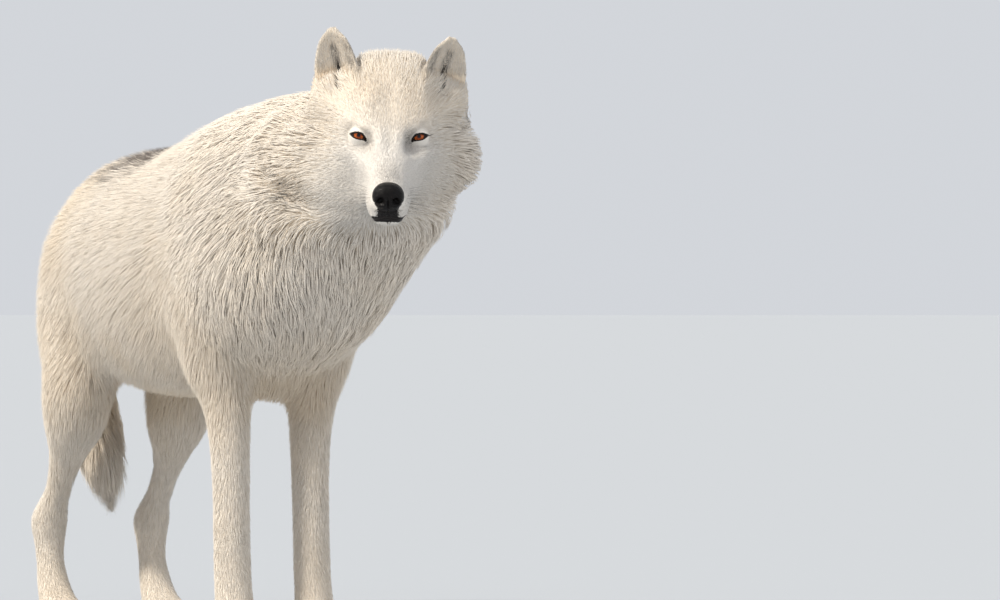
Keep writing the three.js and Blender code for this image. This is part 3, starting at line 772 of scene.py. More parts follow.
def markings(points):
    """The share of each mark at points near the skin, one column for each."""
    x, y, z = points.T
    at = to_head(points)
    head = head_share(at)
    hx, hy, hz = at.T
    lateral = np.abs(y)
    along = ramp(x, SADDLE_FRONT, SADDLE_FRONT - 0.03) * (1 - ramp(x, SADDLE_DARKEST, SADDLE_BACK) * 0.65)
    saddle = along * ramp(x, SADDLE_BACK - 0.05, SADDLE_BACK + 0.05)
    saddle = saddle * (1 - ramp(lateral, 0.050, 0.135)) * ramp(z, 0.60, 0.66)
    rump = ramp(x, -0.20, -0.42) * ramp(z, 0.50, 0.66) * 0.5
    # The belly's underside is warmer and darker, partly buff underfur and partly painted shade where it
    # turns from the light.
    under = ramp(z, 0.50, 0.42) * ramp(z, 0.30, 0.38) * (1 - ramp(lateral, 0.05, 0.11)) * 0.7
    tail = ramp(x, -0.565, -0.60) * 0.6
    flank = 0.32 * ramp(z, 0.62, 0.45) * ramp(z, 0.25, 0.40)
    chest = 0.5 * spot(points, (0.42, 0.0, 0.42), (0.12, 0.10, 0.09))
    warm = np.maximum.reduce([rump, under, tail, flank, chest]) * (1 - head)
    peach = 0.55 * spot(at, (-20, -42, 66), (26, 26, 16)) + 0.3 * spot(at, (-20, 42, 66), (26, 22, 16))
    ear = ear_share(at)
    along_ear, across_ear, ahead_ear = ear_places(at).T
    inside = ear * ramp(ahead_ear, 0.0, 2.0)
    ear_base = ramp(along_ear, 0.45, 0.15) * ramp(ear_distance(at), 12, 4) * ramp(hz, 40, 58)
    warm = np.maximum.reduce([warm, peach * head, 0.7 * ear_base * head, 0.1 * head * inside])
    patches = np.array([strength * spot(at, place, reach) for place, reach, strength in FACE_GREYS])
    on_ear = np.column_stack([along_ear * EAR_LENGTH, across_ear])
    # Grey in each ear's hollow along the fold: painted shade of the ear's cup.
    ear_hollow_shade = inside * ramp(to_stripe(on_ear, EAR_FOLD[:2]), 11, 3)
    fringe = 0.6 * ear * ramp(across_ear, -10, -20) * ramp(along_ear, 0.9, 0.7)
    grey = np.maximum.reduce([patches.max(axis=0), ear_hollow_shade, fringe]) * head
    pale = head * ramp(hx, -60, 20) * ramp(hz, 40, -10)
    mouth = ramp(to_line(at, MOUTH_LINE), 7, 3.5)
    front = ramp(hx, 104, 113) * ramp(hz, -90, -86) * ramp(hz, -58, -64) * ramp(np.abs(hy), 18, 13)
    # A near-black line along each ear's fold: painted shadow of the crease, not skin.
    ear_fold_shade = 0.85 * ramp(ahead_ear, 0, 2) * ramp(to_stripe(on_ear, EAR_FOLD[1:]), 3.6, 1.4) * ramp(hz, 30, 45)
    lids = ramp(from_rim(at), 0.7, -0.6)
    dark = np.maximum.reduce([1.1 * mouth, 1.1 * front, lids, ear_fold_shade]) * head
    return np.column_stack([saddle, warm, grey, pale, dark])


def store(mesh, name, values):
    mesh.attributes.new(name, "FLOAT", "POINT").data.foreach_set("value", np.asarray(values, np.float32))


def short_coat(points):
    """1 where the coat is short enough for the skin's own finish to show."""
    return ramp(coat_rows.at(points)[:, 1], 40, 15) * (1 - head_share(to_head(points))) + head_share(
        to_head(points)
    ) * ramp(to_head(points)[:, 0], -90, -20)


skin_marks = markings(skin_points)
for name, values in zip(MARKS, skin_marks.T):
    store(skin_mesh, name, values)
# The skin takes mostly the roots' colour, darker than the tufts' tips: painted shade under the coat, so that
# the tufts stand out.
store(skin_mesh, "tip", 0.1 + 0.3 * short_coat(skin_points))
print("mean marks", dict(zip(MARKS, skin_marks.mean(axis=0).round(3))))

# %% [markdown]
# ## Finishes of skin and coat
# Both finishes read the same marks. The coat's colour runs from warm underfur at the root to white at
# the tip; on the pale muzzle and cheeks the root is a darker beige, painted shade deep in the fur. Each
# tuft is a little lighter or darker than its neighbours by a chance of its own. The saddle is only dark at
# the tips of some of its tufts, as it is on the real animal.

# %% Finishes of skin and coat
CREAM = (0.95, 0.865, 0.76, 1)
WHITE = (0.84, 0.795, 0.735, 1)
# The pale face's root colour, darker than its tips: painted shade deep in the fur.
PAINTED_SHADE_WHITE_ROOT = (0.66, 0.60, 0.53, 1)
WARM_TIP = (0.92, 0.77, 0.58, 1)
UNDERFUR = (0.93, 0.82, 0.67, 1)
OCHRE = (0.78, 0.57, 0.36, 1)
GREY = (0.17, 0.15, 0.135, 1)
DARK_TIP = (0.12, 0.095, 0.08, 1)
# Black of the bare lips and lid rims, also used for the painted shadow along the ears' folds.
BLACK_SKIN_AND_FOLD_SHADE = (0.012, 0.010, 0.010, 1)


class Finish:
    """A material whose nodes are added one after another."""

    def __init__(self, name, roughness):
        self.material = bpy.data.materials.new(name)
        self.material.use_nodes = True
        self.tree = self.material.node_tree
        self.shader = self.tree.nodes["Principled BSDF"]
        self.shader.inputs["Roughness"].default_value = roughness

    def node(self, kind, **settings):
        node = self.tree.nodes.new(kind)
        for key, value in settings.items():
            setattr(node, key, value)
        return node

    def link(self, source, target):
        self.tree.links.new(source, target)

    def fill(self, socket, value):
        if hasattr(value, "is_output"):
            self.link(value, socket)
        else:
            socket.default_value = value

    def attribute(self, name, output="Fac"):
        return self.node("ShaderNodeAttribute", attribute_name=name).outputs[output]

    def maths(self, operation, *values, clamp=False):
        node = self.node("ShaderNodeMath", operation=operation, use_clamp=clamp)
        for socket, value in zip(node.inputs, values):
            self.fill(socket, value)
        return node.outputs[0]

    def blend(self, share, first, second, blend_type="MIX"):
        node = self.node("ShaderNodeMix", data_type="RGBA", blend_type=blend_type)
        sockets = {socket.identifier: socket for socket in node.inputs}
        self.fill(sockets["Factor_Float"], share)
        self.fill(sockets["A_Color"], first)
        self.fill(sockets["B_Color"], second)
        return next(socket for socket in node.outputs if socket.identifier == "Result_Color")

    def span(self, value, start, end, low=0.0, high=1.0):
        node = self.node("ShaderNodeMapRange", interpolation_type="SMOOTHSTEP")
        for socket, number in zip(node.inputs, (value, start, end, low, high)):
            self.fill(socket, number)
        return node.outputs[0]

    def noise(self, scale, detail=3.0, vector=None, stretch=(1, 1, 1)):
        node = self.node("ShaderNodeTexNoise")
        node.inputs["Scale"].default_value = scale
        node.inputs["Detail"].default_value = detail
        if vector is None:
            vector = self.node("ShaderNodeTexCoord").outputs["Object"]
        mapping = self.node("ShaderNodeMapping")
        mapping.inputs["Scale"].default_value = stretch
        self.link(vector, mapping.inputs["Vector"])
        self.link(mapping.outputs[0], node.inputs["Vector"])
        return node.outputs["Fac"]

    def bump(self, height, distance, strength=1.0):
        node = self.node("ShaderNodeBump")
        node.inputs["Distance"].default_value = distance
        node.inputs["Strength"].default_value = strength
        self.link(height, node.inputs["Height"])
        self.link(node.outputs[0], self.shader.inputs["Normal"])

    def colour(self, value):
        self.fill(self.shader.inputs["Base Color"], value)


def marked_colour(finish, tip, chance):
    """Warm underfur to a white tip, with the marks over both; on the pale face the root is painted shade."""
    pale = finish.attribute("pale")
    patchy = finish.maths("MULTIPLY_ADD", finish.noise(9, 2), 0.7, -0.24, clamp=True)
    warm = finish.maths("ADD", finish.attribute("warm"), patchy, clamp=True)
    warm = finish.maths("MULTIPLY", warm, finish.maths("SUBTRACT", 1.0, pale))
    root = finish.blend(warm, UNDERFUR, OCHRE)
    end = finish.blend(warm, CREAM, WARM_TIP)
    colour = finish.blend(finish.span(tip, 0.0, 0.55), root, end)
    # On the pale face the roots are darkened: painted shade.
    colour = finish.blend(pale, colour, finish.blend(finish.span(tip, 0.0, 0.6), PAINTED_SHADE_WHITE_ROOT, WHITE))
    streak = finish.maths("MULTIPLY", finish.attribute("grey"), finish.span(chance, 1.1, 0.0))
    colour = finish.blend(streak, colour, GREY)
    reach = finish.maths("SUBTRACT", finish.attribute("saddle"), finish.maths("MULTIPLY", chance, 1.1))
    dark = finish.maths("MULTIPLY", finish.span(reach, 0.0, 0.25), finish.span(tip, 0.30, 0.70))
    colour = finish.blend(dark, colour, DARK_TIP)
    flecked = finish.maths("SUBTRACT", finish.maths("MULTIPLY", finish.attribute("dark"), 1.5), chance)
    return finish.blend(finish.span(flecked, 0.25, 0.6), colour, BLACK_SKIN_AND_FOLD_SHADE)


coat = Finish("winter coat", 0.6)
coat_chance = coat.attribute("chance")
coat_colour = marked_colour(coat, coat.attribute("tip"), coat_chance)
shade = coat.maths("MULTIPLY_ADD", coat_chance, 0.17, 0.85)
grey_shade = coat.node("ShaderNodeCombineColor")
for channel in grey_shade.inputs:
    if channel.type == "VALUE":
        coat.link(shade, channel)
coat.colour(coat.blend(1.0, coat_colour, grey_shade.outputs[0], "MULTIPLY"))
coat.shader.inputs["Specular IOR Level"].default_value = 0.25
coat.shader.inputs["Sheen Weight"].default_value = 0.2
coat.shader.inputs["Sheen Roughness"].default_value = 0.4

pelt = Finish("short fur over skin", 0.75)
fleck = pelt.noise(700, 4)
pelt.colour(marked_colour(pelt, pelt.attribute("tip"), pelt.span(fleck, 0.35, 0.65)))
pelt.bump(pelt.noise(900, 5), 0.0005)
pelt.shader.inputs["Specular IOR Level"].default_value = 0.2
print("finishes", coat.material.name, "and", pelt.material.name)

# %% [markdown]
# ## The skin as a piece
# The skin is unwrapped by its own shape, so that every tuft can be given its root's place on that
# unwrap. It stands for all the nodes of flesh at once.

# %% The skin as a piece
skin_object = new_object("skin", skin_mesh, pelt.material)
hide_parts(*FLESH)
bpy.context.view_layer.objects.active = skin_object
skin_object.select_set(True)
skin_mesh.uv_layers.new(name="OFBake")
bpy.ops.object.mode_set(mode="EDIT")
bpy.ops.mesh.select_all(action="SELECT")
bpy.ops.uv.smart_project(angle_limit=math.radians(66), island_margin=0.001)
bpy.ops.object.mode_set(mode="OBJECT")
print("skin unwrapped")

# %% [markdown]
# ## Eyeballs
# Each eyeball is a sphere whose front bulges a little where the clear cornea covers the iris. The
# mesh's rings run round the gaze, so that every point can say how far it is from the iris's middle. The
# finish turns that distance into pupil, streaked amber iris, dark edge and brown white of the eye. The
# pupil is set a little high, so that its dark reaches up where the upper lid's shadow falls: painted shade.

# %% Eyeballs
IRIS_RADIUS = 7.4
PUPIL_RADIUS = 2.5
# The pupil is raised: its top is painted shade of the upper lid.
PUPIL_RAISED_FOR_LID_SHADE = 0.9
CORNEA_RISE = 0.7
EYE_RINGS = 40
EYE_SEGMENTS = 64
DEEP_AMBER = (0.22, 0.030, 0.005, 1)
LIGHT_AMBER = (0.62, 0.15, 0.022, 1)
PUPIL_EDGE = (0.16, 0.022, 0.006, 1)
IRIS_EDGE = (0.020, 0.008, 0.006, 1)
EYE_WHITE = (0.075, 0.040, 0.030, 1)

eye_finish = Finish("amber eye", 0.06)
off_axis = eye_finish.attribute("off_axis")
rays = eye_finish.noise(2.2, 4, eye_finish.attribute("rays", "Vector"))
amber = eye_finish.blend(eye_finish.span(rays, 0.3, 0.7), DEEP_AMBER, LIGHT_AMBER)
amber = eye_finish.blend(eye_finish.span(off_axis, 2.0, 5.0), PUPIL_EDGE, amber)
amber = eye_finish.blend(eye_finish.span(off_axis, IRIS_RADIUS - 1.2, IRIS_RADIUS), amber, IRIS_EDGE)
amber = eye_finish.blend(eye_finish.span(off_axis, IRIS_RADIUS + 0.2, IRIS_RADIUS + 1.6), amber, EYE_WHITE)
pupil = eye_finish.span(eye_finish.attribute("off_pupil"), PUPIL_RADIUS - 0.2, PUPIL_RADIUS + 0.5)
eye_finish.colour(eye_finish.blend(pupil, (0.002, 0.002, 0.002, 1), amber))
eye_finish.shader.inputs["IOR"].default_value = 1.38
eye_finish.shader.inputs["Specular IOR Level"].default_value = 0.25
eye_finish.shader.inputs["Coat Weight"].default_value = 0.35
eye_finish.shader.inputs["Coat Roughness"].default_value = 0.02


def rounded_faces(rings, segments):
    """Quads of a net of rings, each joined on itself."""
    ring, step = np.meshgrid(np.arange(rings - 1), np.arange(segments), indexing="ij")
    first, after = ring * segments, (step + 1) % segments
    corners = [first + step, first + after, first + segments + after, first + segments + step]
    return np.stack(corners, axis=-1).reshape(-1, 4)


def close_ends(mesh):
    """Fills the holes at the ends of a net of rings and turns its faces outwards."""
    net = bmesh.new()
    net.from_mesh(mesh)
    bmesh.ops.holes_fill(net, edges=[edge for edge in net.edges if edge.is_boundary])
    bmesh.ops.recalc_face_normals(net, faces=net.faces)
    net.to_mesh(mesh)
    net.free()


for side, node in ((1, "eye_left"), (-1, "eye_right")):
    tilt = np.linspace(0.02, math.pi - 0.02, EYE_RINGS)[:, None]
    turn = np.linspace(0, 2 * math.pi, EYE_SEGMENTS, endpoint=False)[None]
    rise = CORNEA_RISE * ramp(tilt, 0.72, 0.1)
    radius = EYE_RADIUS + rise - 0.05
    off = radius * np.sin(tilt)
    local = np.broadcast_arrays(off * np.cos(turn), off * np.sin(turn), radius * np.cos(tilt))
    local = np.stack(local, axis=-1).reshape(-1, 3)
    placed = from_head(local @ np.stack(eye_axes(side)) + EYE_AT[side])
    name = node.replace("eye", "eyeball")
    mesh = new_mesh(name, placed, rounded_faces(EYE_RINGS, EYE_SEGMENTS)[:, ::side], 4)
    close_ends(mesh)
    front = local[:, 2] > 0
    sideways = np.hypot(local[:, 0], local[:, 1])
    store(mesh, "off_axis", np.where(front, sideways, 20))
    store(mesh, "off_pupil", np.where(front, np.hypot(local[:, 0], local[:, 1] - PUPIL_RAISED_FOR_LID_SHADE), 20))
    ray_at = np.column_stack([local[:, :2] / np.maximum(sideways, 0.1)[:, None] * 3, sideways * 0.12])
    ray_values = mesh.attributes.new("rays", "FLOAT_VECTOR", "POINT").data
    ray_values.foreach_set("vector", ray_at.astype(np.float32).ravel())
    eyeball = new_object(mesh.name, mesh, eye_finish.material)
    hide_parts(node)
print("eyeballs of radius", EYE_RADIUS, "mm")

# %% [markdown]
# ## Rims of the lids
# The bare edge of a wolf's lids is black and a little moist, and it widens into the tear corner. Each
# rim is a band between the two closed curves: it starts behind the eyeball's surface, rolls over the
# lid's edge and ends under the fur.

# %% Rims of the lids
RIM_SHARES = [-0.30, -0.08, 0.10, 0.4, 0.75, 0.95, 1.10]
RIM_HEIGHTS = [-1.6, -0.2, 0.55, 0.75, 0.5, 0.15, -1.4]

rim_finish = Finish("bare black skin", 0.32)
rim_grain = rim_finish.noise(1500, 4)
rim_share = rim_finish.span(rim_grain, 0.3, 0.7)
rim_finish.colour(rim_finish.blend(rim_share, (0.006, 0.005, 0.005, 1), (0.022, 0.017, 0.015, 1)))
rim_finish.bump(rim_grain, 0.0003)
rim_finish.shader.inputs["Specular IOR Level"].default_value = 0.16


def lid_height(flat, side):
    """How far ahead of an eye's middle the lid lies, over places on the viewer's plane."""
    ahead = np.arange(24, -24, -0.4)
    reach = np.repeat(flat, len(ahead), axis=0)
    place = np.column_stack([reach, np.tile(ahead, len(flat))])
    at = place @ np.stack(eye_axes(side)) + EYE_AT[side]
    inside = (skin_distance.at(from_head(at)) < 0).reshape(len(flat), len(ahead))
    return ahead[inside.argmax(axis=1)]


rim_points, rim_faces = [], []
for side in EYE_AT:
    inner, outer = closed_curve(OPENING), closed_curve(RIM)
    for share, lift in zip(RIM_SHARES, RIM_HEIGHTS):
        flat = inner + (outer - inner) * share
        ahead = lid_height(flat, side) + lift
        if share < 0:
            ball = np.sqrt(np.maximum(EYE_RADIUS**2 - (flat**2).sum(axis=1), 9))
            ahead = np.minimum(ahead, ball + lift + 1.0)
        around = np.column_stack([flat, ahead])
        around[:, 2] = sum(np.roll(around[:, 2], n) for n in (-1, 0, 1)) / 3
        rim_points.append(around @ np.stack(eye_axes(side)) + EYE_AT[side])
    first = 0 if side == 1 else len(RIM_SHARES) * len(inner)
    rim_faces.append(rounded_faces(len(RIM_SHARES), len(inner))[:, ::side] + first)
rim_mesh = new_mesh("eyelid_rims", from_head(np.concatenate(rim_points)), np.concatenate(rim_faces), 4)
new_object("eyelid_rims", rim_mesh, rim_finish.material)
print("lid rims", len(rim_mesh.polygons), "faces")

# %% [markdown]
# ## Nose
# The nose is a pad of bare black leather, wider above than below, with two comma-shaped nostrils and a
# groove between them. A ball of rings is squared off a little, and its front is pushed in where the
# nostrils and the groove lie. Fine pebbles come from cells in the finish.

# %% Nose
NOSE_AT = np.array([115.5, 0.0, -50.0])
NOSE_HALF = np.array([17.5, 23.5, 20.0])
NOSE_SQUARENESS = 2.5
NOSE_RINGS = 72
NOSE_SEGMENTS = 112

nose_finish = Finish("nose leather", 0.28)
pebbles = nose_finish.node("ShaderNodeTexVoronoi", feature="DISTANCE_TO_EDGE")
pebbles.inputs["Scale"].default_value = 620
nose_finish.link(nose_finish.node("ShaderNodeTexCoord").outputs["Object"], pebbles.inputs["Vector"])
pebble_edge = nose_finish.span(pebbles.outputs["Distance"], 0.0, 0.25)
nose_finish.colour(nose_finish.blend(pebble_edge, (0.003, 0.0025, 0.0025, 1), (0.009, 0.007, 0.0065, 1)))
nose_finish.bump(pebble_edge, 0.00025, 0.6)
nose_finish.shader.inputs["Specular IOR Level"].default_value = 0.14

tilt = np.linspace(0.01, math.pi - 0.01, NOSE_RINGS)[:, None]
turn = np.linspace(0, 2 * math.pi, NOSE_SEGMENTS, endpoint=False)[None]
way = [np.cos(tilt), np.sin(tilt) * np.cos(turn), np.sin(tilt) * np.sin(turn)]
way = np.stack(np.broadcast_arrays(*way), axis=-1).reshape(-1, 3)
way = way / (np.abs(way) ** NOSE_SQUARENESS).sum(axis=1, keepdims=True) ** (1 / NOSE_SQUARENESS)
nose = way * NOSE_HALF
nose[:, 1] *= 1 - 0.22 * ramp(nose[:, 2], 4, -20)
nose[:, 2] += 2.5 * (1 - (nose[:, 1] / NOSE_HALF[1]) ** 2) * ramp(nose[:, 2], 0, 20)
across, up = np.abs(nose[:, 1]), nose[:, 2]
pit = np.exp(-(((across - 10.5) / 4.6) ** 2) - ((up - 0.5) / 4.4) ** 2)
slit_up = -2 - 0.05 * (across - 12) ** 2
slit = np.exp(-(((up - slit_up) / 1.7) ** 2)) * ramp(across, 9, 14) * ramp(across, 25, 21)
wing = np.exp(-(((np.hypot((across - 11) / 1.0, up) - 8) / 2.6) ** 2))
groove = np.exp(-((nose[:, 1] / 1.1) ** 2)) * ramp(up, 7, -2)
front = ramp(way[:, 0], 0.1, 0.6)
nose[:, 0] -= front * (7.5 * pit + 3.5 * slit * (1 - pit) + 1.8 * groove - 1.1 * wing)
slit_side = slit * (1 - front)
nose[:, 1] -= np.sign(nose[:, 1]) * 2.2 * slit_side * ramp(nose[:, 0], -6, 4)
nose_mesh = new_mesh("nose_leather", from_head(nose + NOSE_AT), rounded_faces(NOSE_RINGS, NOSE_SEGMENTS), 4)
close_ends(nose_mesh)
new_object("nose_leather", nose_mesh, nose_finish.material)
print("nose", len(nose_mesh.polygons), "faces")

# %% [markdown]
# ## Lips
# With the mouth closed the lips show as two black rolls with a line between them, full under the nose
# and thin towards the corner below the eye. A strip is laid along the mouth's line on the skin, and its
# section rises at both rolls and dips between them.

# %% Lips
LIP_STEPS = 60
LIP_ACROSS = np.array([-1.15, -0.95, -0.6, -0.25, 0.0, 0.25, 0.6, 0.95, 1.15])
LIP_RISE = np.array([-2.2, 0.3, 1.1, 0.7, -0.9, 0.7, 1.1, 0.3, -2.2])

places = np.concatenate([(MOUTH_LINE * [1, -1, 1])[:0:-1], MOUTH_LINE])
lengths = np.concatenate([[0], np.cumsum(np.linalg.norm(np.diff(places, axis=0), axis=1))])
steps = np.linspace(0, lengths[-1], LIP_STEPS * 2 + 1)
mouth = np.column_stack([np.interp(steps, lengths, column) for column in places.T])
for _ in range(12):
    mouth[1:-1] = (mouth[:-2] + mouth[1:-1] * 2 + mouth[2:]) / 4
mouth = settle(from_head(mouth), 6)
outward = unit(skin_distance.slope(mouth))
along = unit(np.gradient(mouth, axis=0))
across = np.cross(outward, along)
half_width = (1.1 + 3.4 * np.exp(-(((steps - steps.mean()) / 15) ** 2))) * MM
strip = mouth[:, None] + across[:, None] * (LIP_ACROSS[None, :, None] * half_width[:, None, None])
fullness = ramp(half_width, 0.5 * MM, 4 * MM)
strip = strip + outward[:, None] * (LIP_RISE[None, :, None] * MM * fullness[:, None, None])
count = len(LIP_ACROSS)
row, column = np.meshgrid(np.arange(len(steps) - 1), np.arange(count - 1), indexing="ij")
corner = (row * count + column).ravel()
lip_faces = np.column_stack([corner, corner + 1, corner + count + 1, corner + count])
lip_mesh = new_mesh("lips", strip.reshape(-1, 3), lip_faces, 4)
new_object("lips", lip_mesh, rim_finish.material)
print("lips", len(lip_mesh.polygons), "faces")

# %% [markdown]
# ## How the fur lies
# On the trunk the fur runs back and down, on the chest and legs it hangs, on the face it runs back
# from the nose and spreads over the cheeks, and on the ears it runs to the tips. Length, width and
# spacing come from the coat's table on the body and from the head's own axes on the face.

# %% How the fur lies
def lie(points, normals):
    """The way that fur lies at points on the skin."""
    rows = coat_rows.at(points)
    way = np.column_stack([rows[:, 4], np.zeros(len(points)), rows[:, 5]])
    way[:, 2] -= 0.5 * ramp(points[:, 2], 0.66, 0.48) * ramp(points[:, 2], 0.3, 0.4)
    front = ramp(normals[:, 0], 0.15, 0.75) * ramp(points[:, 0], 0.1, 0.25)
    way = mix(way, np.array([-0.05, 0.0, -1.0]), front[:, None])
    at = to_head(points)
    x, y, z = at.T
    spread = ramp(np.abs(y), 14, 80) * np.sign(y) * ramp(z, 55, -10)
    on_head = np.column_stack([
        -np.ones(len(points)),
        1.15 * spread,
        0.55 * ramp(z, 0, 50) * ramp(x, -80, -20) - 0.7 * ramp(z, 20, -60) * ramp(np.abs(y), 25, 75),
    ])
    on_head = mix(on_head, np.array([-0.15, 0.0, 1.0]), ear_share(at)[:, None])
    way = mix(unit(way), unit(on_head) @ HEAD_AXES, head_share(at)[:, None])
    way = way - normals * (way * normals).sum(axis=1, keepdims=True)
    return unit(way)


def coat_at(points):
    """Depth, length, width and spacing of the coat at points on the skin, in metres."""
    rows = coat_rows.at(points)[:, :4].copy()
    at = to_head(points)
    x, y, z = at.T
    side = np.abs(y)
    length = 6.5 + 5 * ramp(x, 60, -20) + 8 * ramp(x, -20, -90) * ramp(z, 0, 40)
    length = length + 34 * ramp(side, 45, 95) * ramp(x, 0, -70) * ramp(z, 30, -20)
    length = length + 18 * ramp(x, 30, -60) * ramp(z, -80, -120)
    length = mix(length, 74, ramp(x, -85, -165))
    width = 0.85 + 0.011 * length.clip(0, 60)
    spacing = 1.75 + 0.030 * length.clip(0, 60)
    ear = ear_share(at)
    inside = ear * ramp(ear_places(at)[:, 2], 0, 2)
    on_head = np.column_stack([
        mix(head_depth(at) / MM, 2.2, ear),
        mix(length, mix(8, 13, inside), ear),
        mix(width, 0.9, ear),
        mix(spacing, 1.7, ear),
    ])
    return mix(rows, on_head, head_share(at)[:, None]) * MM


def bare(points):
    """1 where no tuft grows: the nose, the eyes, the lips and the soles."""
    at = to_head(points)
    nose_near = np.linalg.norm((at - NOSE_AT) / (NOSE_HALF + 1.0), axis=1)
    hidden = ramp(nose_near, 1.06, 0.98)
    from_lips = to_line(at, MOUTH_LINE) - 4 * ramp(at[:, 0], 98, 112)
    lips_near = ramp(from_lips, 3.6, 2.4) * ramp(at[:, 0], 20, 40)
    eyes = ramp(from_rim(at, ahead_of=-4), 0.8, -0.2)
    soles = ramp(points[:, 2], 0.007, 0.005)
    return np.maximum.reduce([hidden, lips_near, eyes, soles])


print("fur lies", lie(np.array([[0.0, -0.1, 0.6]]), np.array([[0.0, -1.0, 0.0]])).round(2), "on the flank")

# %% [markdown]
# ## Planting the tufts
# Roots are scattered over the skin, closer where the coat is short. Straight tufts need only one ring
# between root and tip. The wavy ones of the ruff, chest and tail have two.

# %% Planting the tufts
skin_mesh.calc_loop_triangles()
triangle_points = read(skin_mesh.loop_triangles, "vertices", 3, np.int32)
triangle_loops = read(skin_mesh.loop_triangles, "loops", 3, np.int32)
skin_uv = read(skin_mesh.uv_layers["OFBake"].data, "uv", 2)

MOST_TRIANGLES = 1_470_000
WAVY_TUFT = 34 * MM
LENGTHS = (0.78, 1.15)  # shares of the table's values, from the least tuft to the greatest
WIDTHS = (0.75, 1.25)
HEIGHTS = (0.72, 0.99)
STEEPEST = 0.75  # greatest height for a tuft's length


def ruff(points):
    """1 on the neck, the chest and the tail, where the locks are long and wavy."""
    return np.maximum(ramp(points[:, 0] + 0.5 * points[:, 2], 0.42, 0.62), ramp(points[:, 0], -0.54, -0.58))


def is_wavy(points, lengths):
    return (lengths > WAVY_TUFT) & (ruff(points) > 0.5)


corners = skin_points[triangle_points]
middles = corners.mean(axis=1)
areas = areas_of(corners)
middle_coat = coat_at(middles)
want = areas / middle_coat[:, 3] ** 2 * (1 - bare(middles))
faces_wanted = (want * np.where(is_wavy(middles, middle_coat[:, 1]), 12, 6)).sum()
TUFTS = int(want.sum() * MOST_TRIANGLES / faces_wanted)
print("tufts by spacing", int(want.sum()), "within the limit", TUFTS)
print("area of skin", round(float(areas.sum()), 2), "square metres")
chosen, share, roots = scatter(corners, want, TUFTS)
root_uv = (skin_uv[triangle_loops[chosen]] * share[:, :, None]).sum(axis=1)

depth, length, width, _ = coat_at(roots).T
wavy = is_wavy(roots, length)
length = length * rng.uniform(*LENGTHS, TUFTS)
width = width * rng.uniform(*WIDTHS, TUFTS)
room = np.maximum(-outline_distance.at(roots), 0.5 * MM)
height = np.minimum(np.minimum(depth, room) * rng.uniform(*HEIGHTS, TUFTS), length * STEEPEST)
print("straight tufts", int((~wavy).sum()), "wavy tufts", int(wavy.sum()))

# %% [markdown]
# ## Combing the tufts
# From its root each tuft walks over the skin the way that the fur lies, while it rises to nearly the
# coat's depth. It turns slowly, and where the skin bends away, as at the tail's tip, it hangs on freely.
# Neighbours are then drawn together towards the tip into locks, most on the chest and tail. What would
# grow past the outline is pushed back to it, apart from a few free tips.

# %% Combing the tufts
STATIONS = np.array([0.0, 0.30, 0.66, 1.0])
TURNING = 0.55  # share of the skin's own lie that a tuft takes up at each station
CLING = 0.45  # share of the way back to the skin that it takes where the skin bends away
ROOT_DEPTH = 0.8 * MM
FREE_TIPS = 0.12
FREE_REACH = 7 * MM

place = roots.copy()
travel = np.sqrt(length**2 - height**2)
slope = unit(skin_distance.slope(place))
heading = lie(place, slope)
path, ups = [], []
for number, station in enumerate(STATIONS):
    lift = height * (1 - (1 - station) ** 2)
    path.append(place + slope * (lift[:, None] - ROOT_DEPTH))
    ups.append(slope)
    if number < len(STATIONS) - 1:
        place = place + heading * (travel * (STATIONS[number + 1] - station))[:, None]
        new_slope = skin_distance.slope(place)
        away = skin_distance.at(place)
        place = place - new_slope * np.where(away < 0, away, away * CLING)[:, None]
        slope = unit(slope * 0.35 + unit(new_slope))
        heading = unit(mix(heading, lie(place, slope), TURNING))
path = np.stack(path, axis=1)
ups = np.stack(ups, axis=1)

TUFTS_PER_LOCK = 15
LOCK_PULL = 0.16
RUFF_PULL = 0.34
WAVE_TURN = 5.2  # radians of wave from root to tip
lock_of = np.empty(TUFTS, int)
leaders = rng.choice(TUFTS, TUFTS // TUFTS_PER_LOCK, replace=False)
lock_tree = KDTree(len(leaders))
for number, leader in enumerate(leaders):
    lock_tree.insert(path[leader, 2], number)
lock_tree.balance()
for number in range(TUFTS):
    lock_of[number] = lock_tree.find(path[number, 2])[1]
in_ruff = ruff(roots)
pull = mix(LOCK_PULL, RUFF_PULL, in_ruff) * ramp(length, 0.006, 0.05)
pull = pull[:, None] * STATIONS[None] ** 1.4
keep = path[:, :1] - path[leaders[lock_of], :1]
target = path[leaders[lock_of]] + keep * 0.2
path = path + (target - path) * pull[:, :, None]

swing = rng.uniform(0, 2 * np.pi, len(leaders))[lock_of] + rng.normal(0, 0.5, TUFTS)
sideways = unit(np.cross(ups, np.gradient(path, axis=1)))
amount = length * mix(0.025, 0.055, in_ruff)
wave = np.sin(STATIONS[None] * WAVE_TURN + swing[:, None]) * STATIONS[None] * amount[:, None]
path = path + sideways * wave[:, :, None]

allowed = np.where(rng.random(TUFTS) < FREE_TIPS, FREE_REACH, 0)
for number in range(1, len(STATIONS)):
    over = outline_distance.at(path[:, number]) - allowed * STATIONS[number]
    outwards = unit(outline_distance.slope(path[:, number]))
    path[:, number] -= outwards * np.maximum(over, 0)[:, None]
print("combed", path.shape, "locks", len(leaders))

# %% [markdown]
# ## From combed lines to solid tufts
# Each line becomes a slim spindle: a point at the root, one or two three-sided rings, and a point at the
# tip. Its shading leans a little to the skin's own outward direction, as light in a real coat spreads
# from hair to hair. The coat is many pieces, so that each stays light.

# %% From combed lines to solid tufts
CORNERS = np.radians([90, 210, 330])
FLATNESS = 0.6
BAKE_PATCH = 0.003
PIECE_TRIANGLES = 190_000
SOFTNESS = 0.3
RING_SIZES = {0.30: 0.95, 0.66: 1.0}


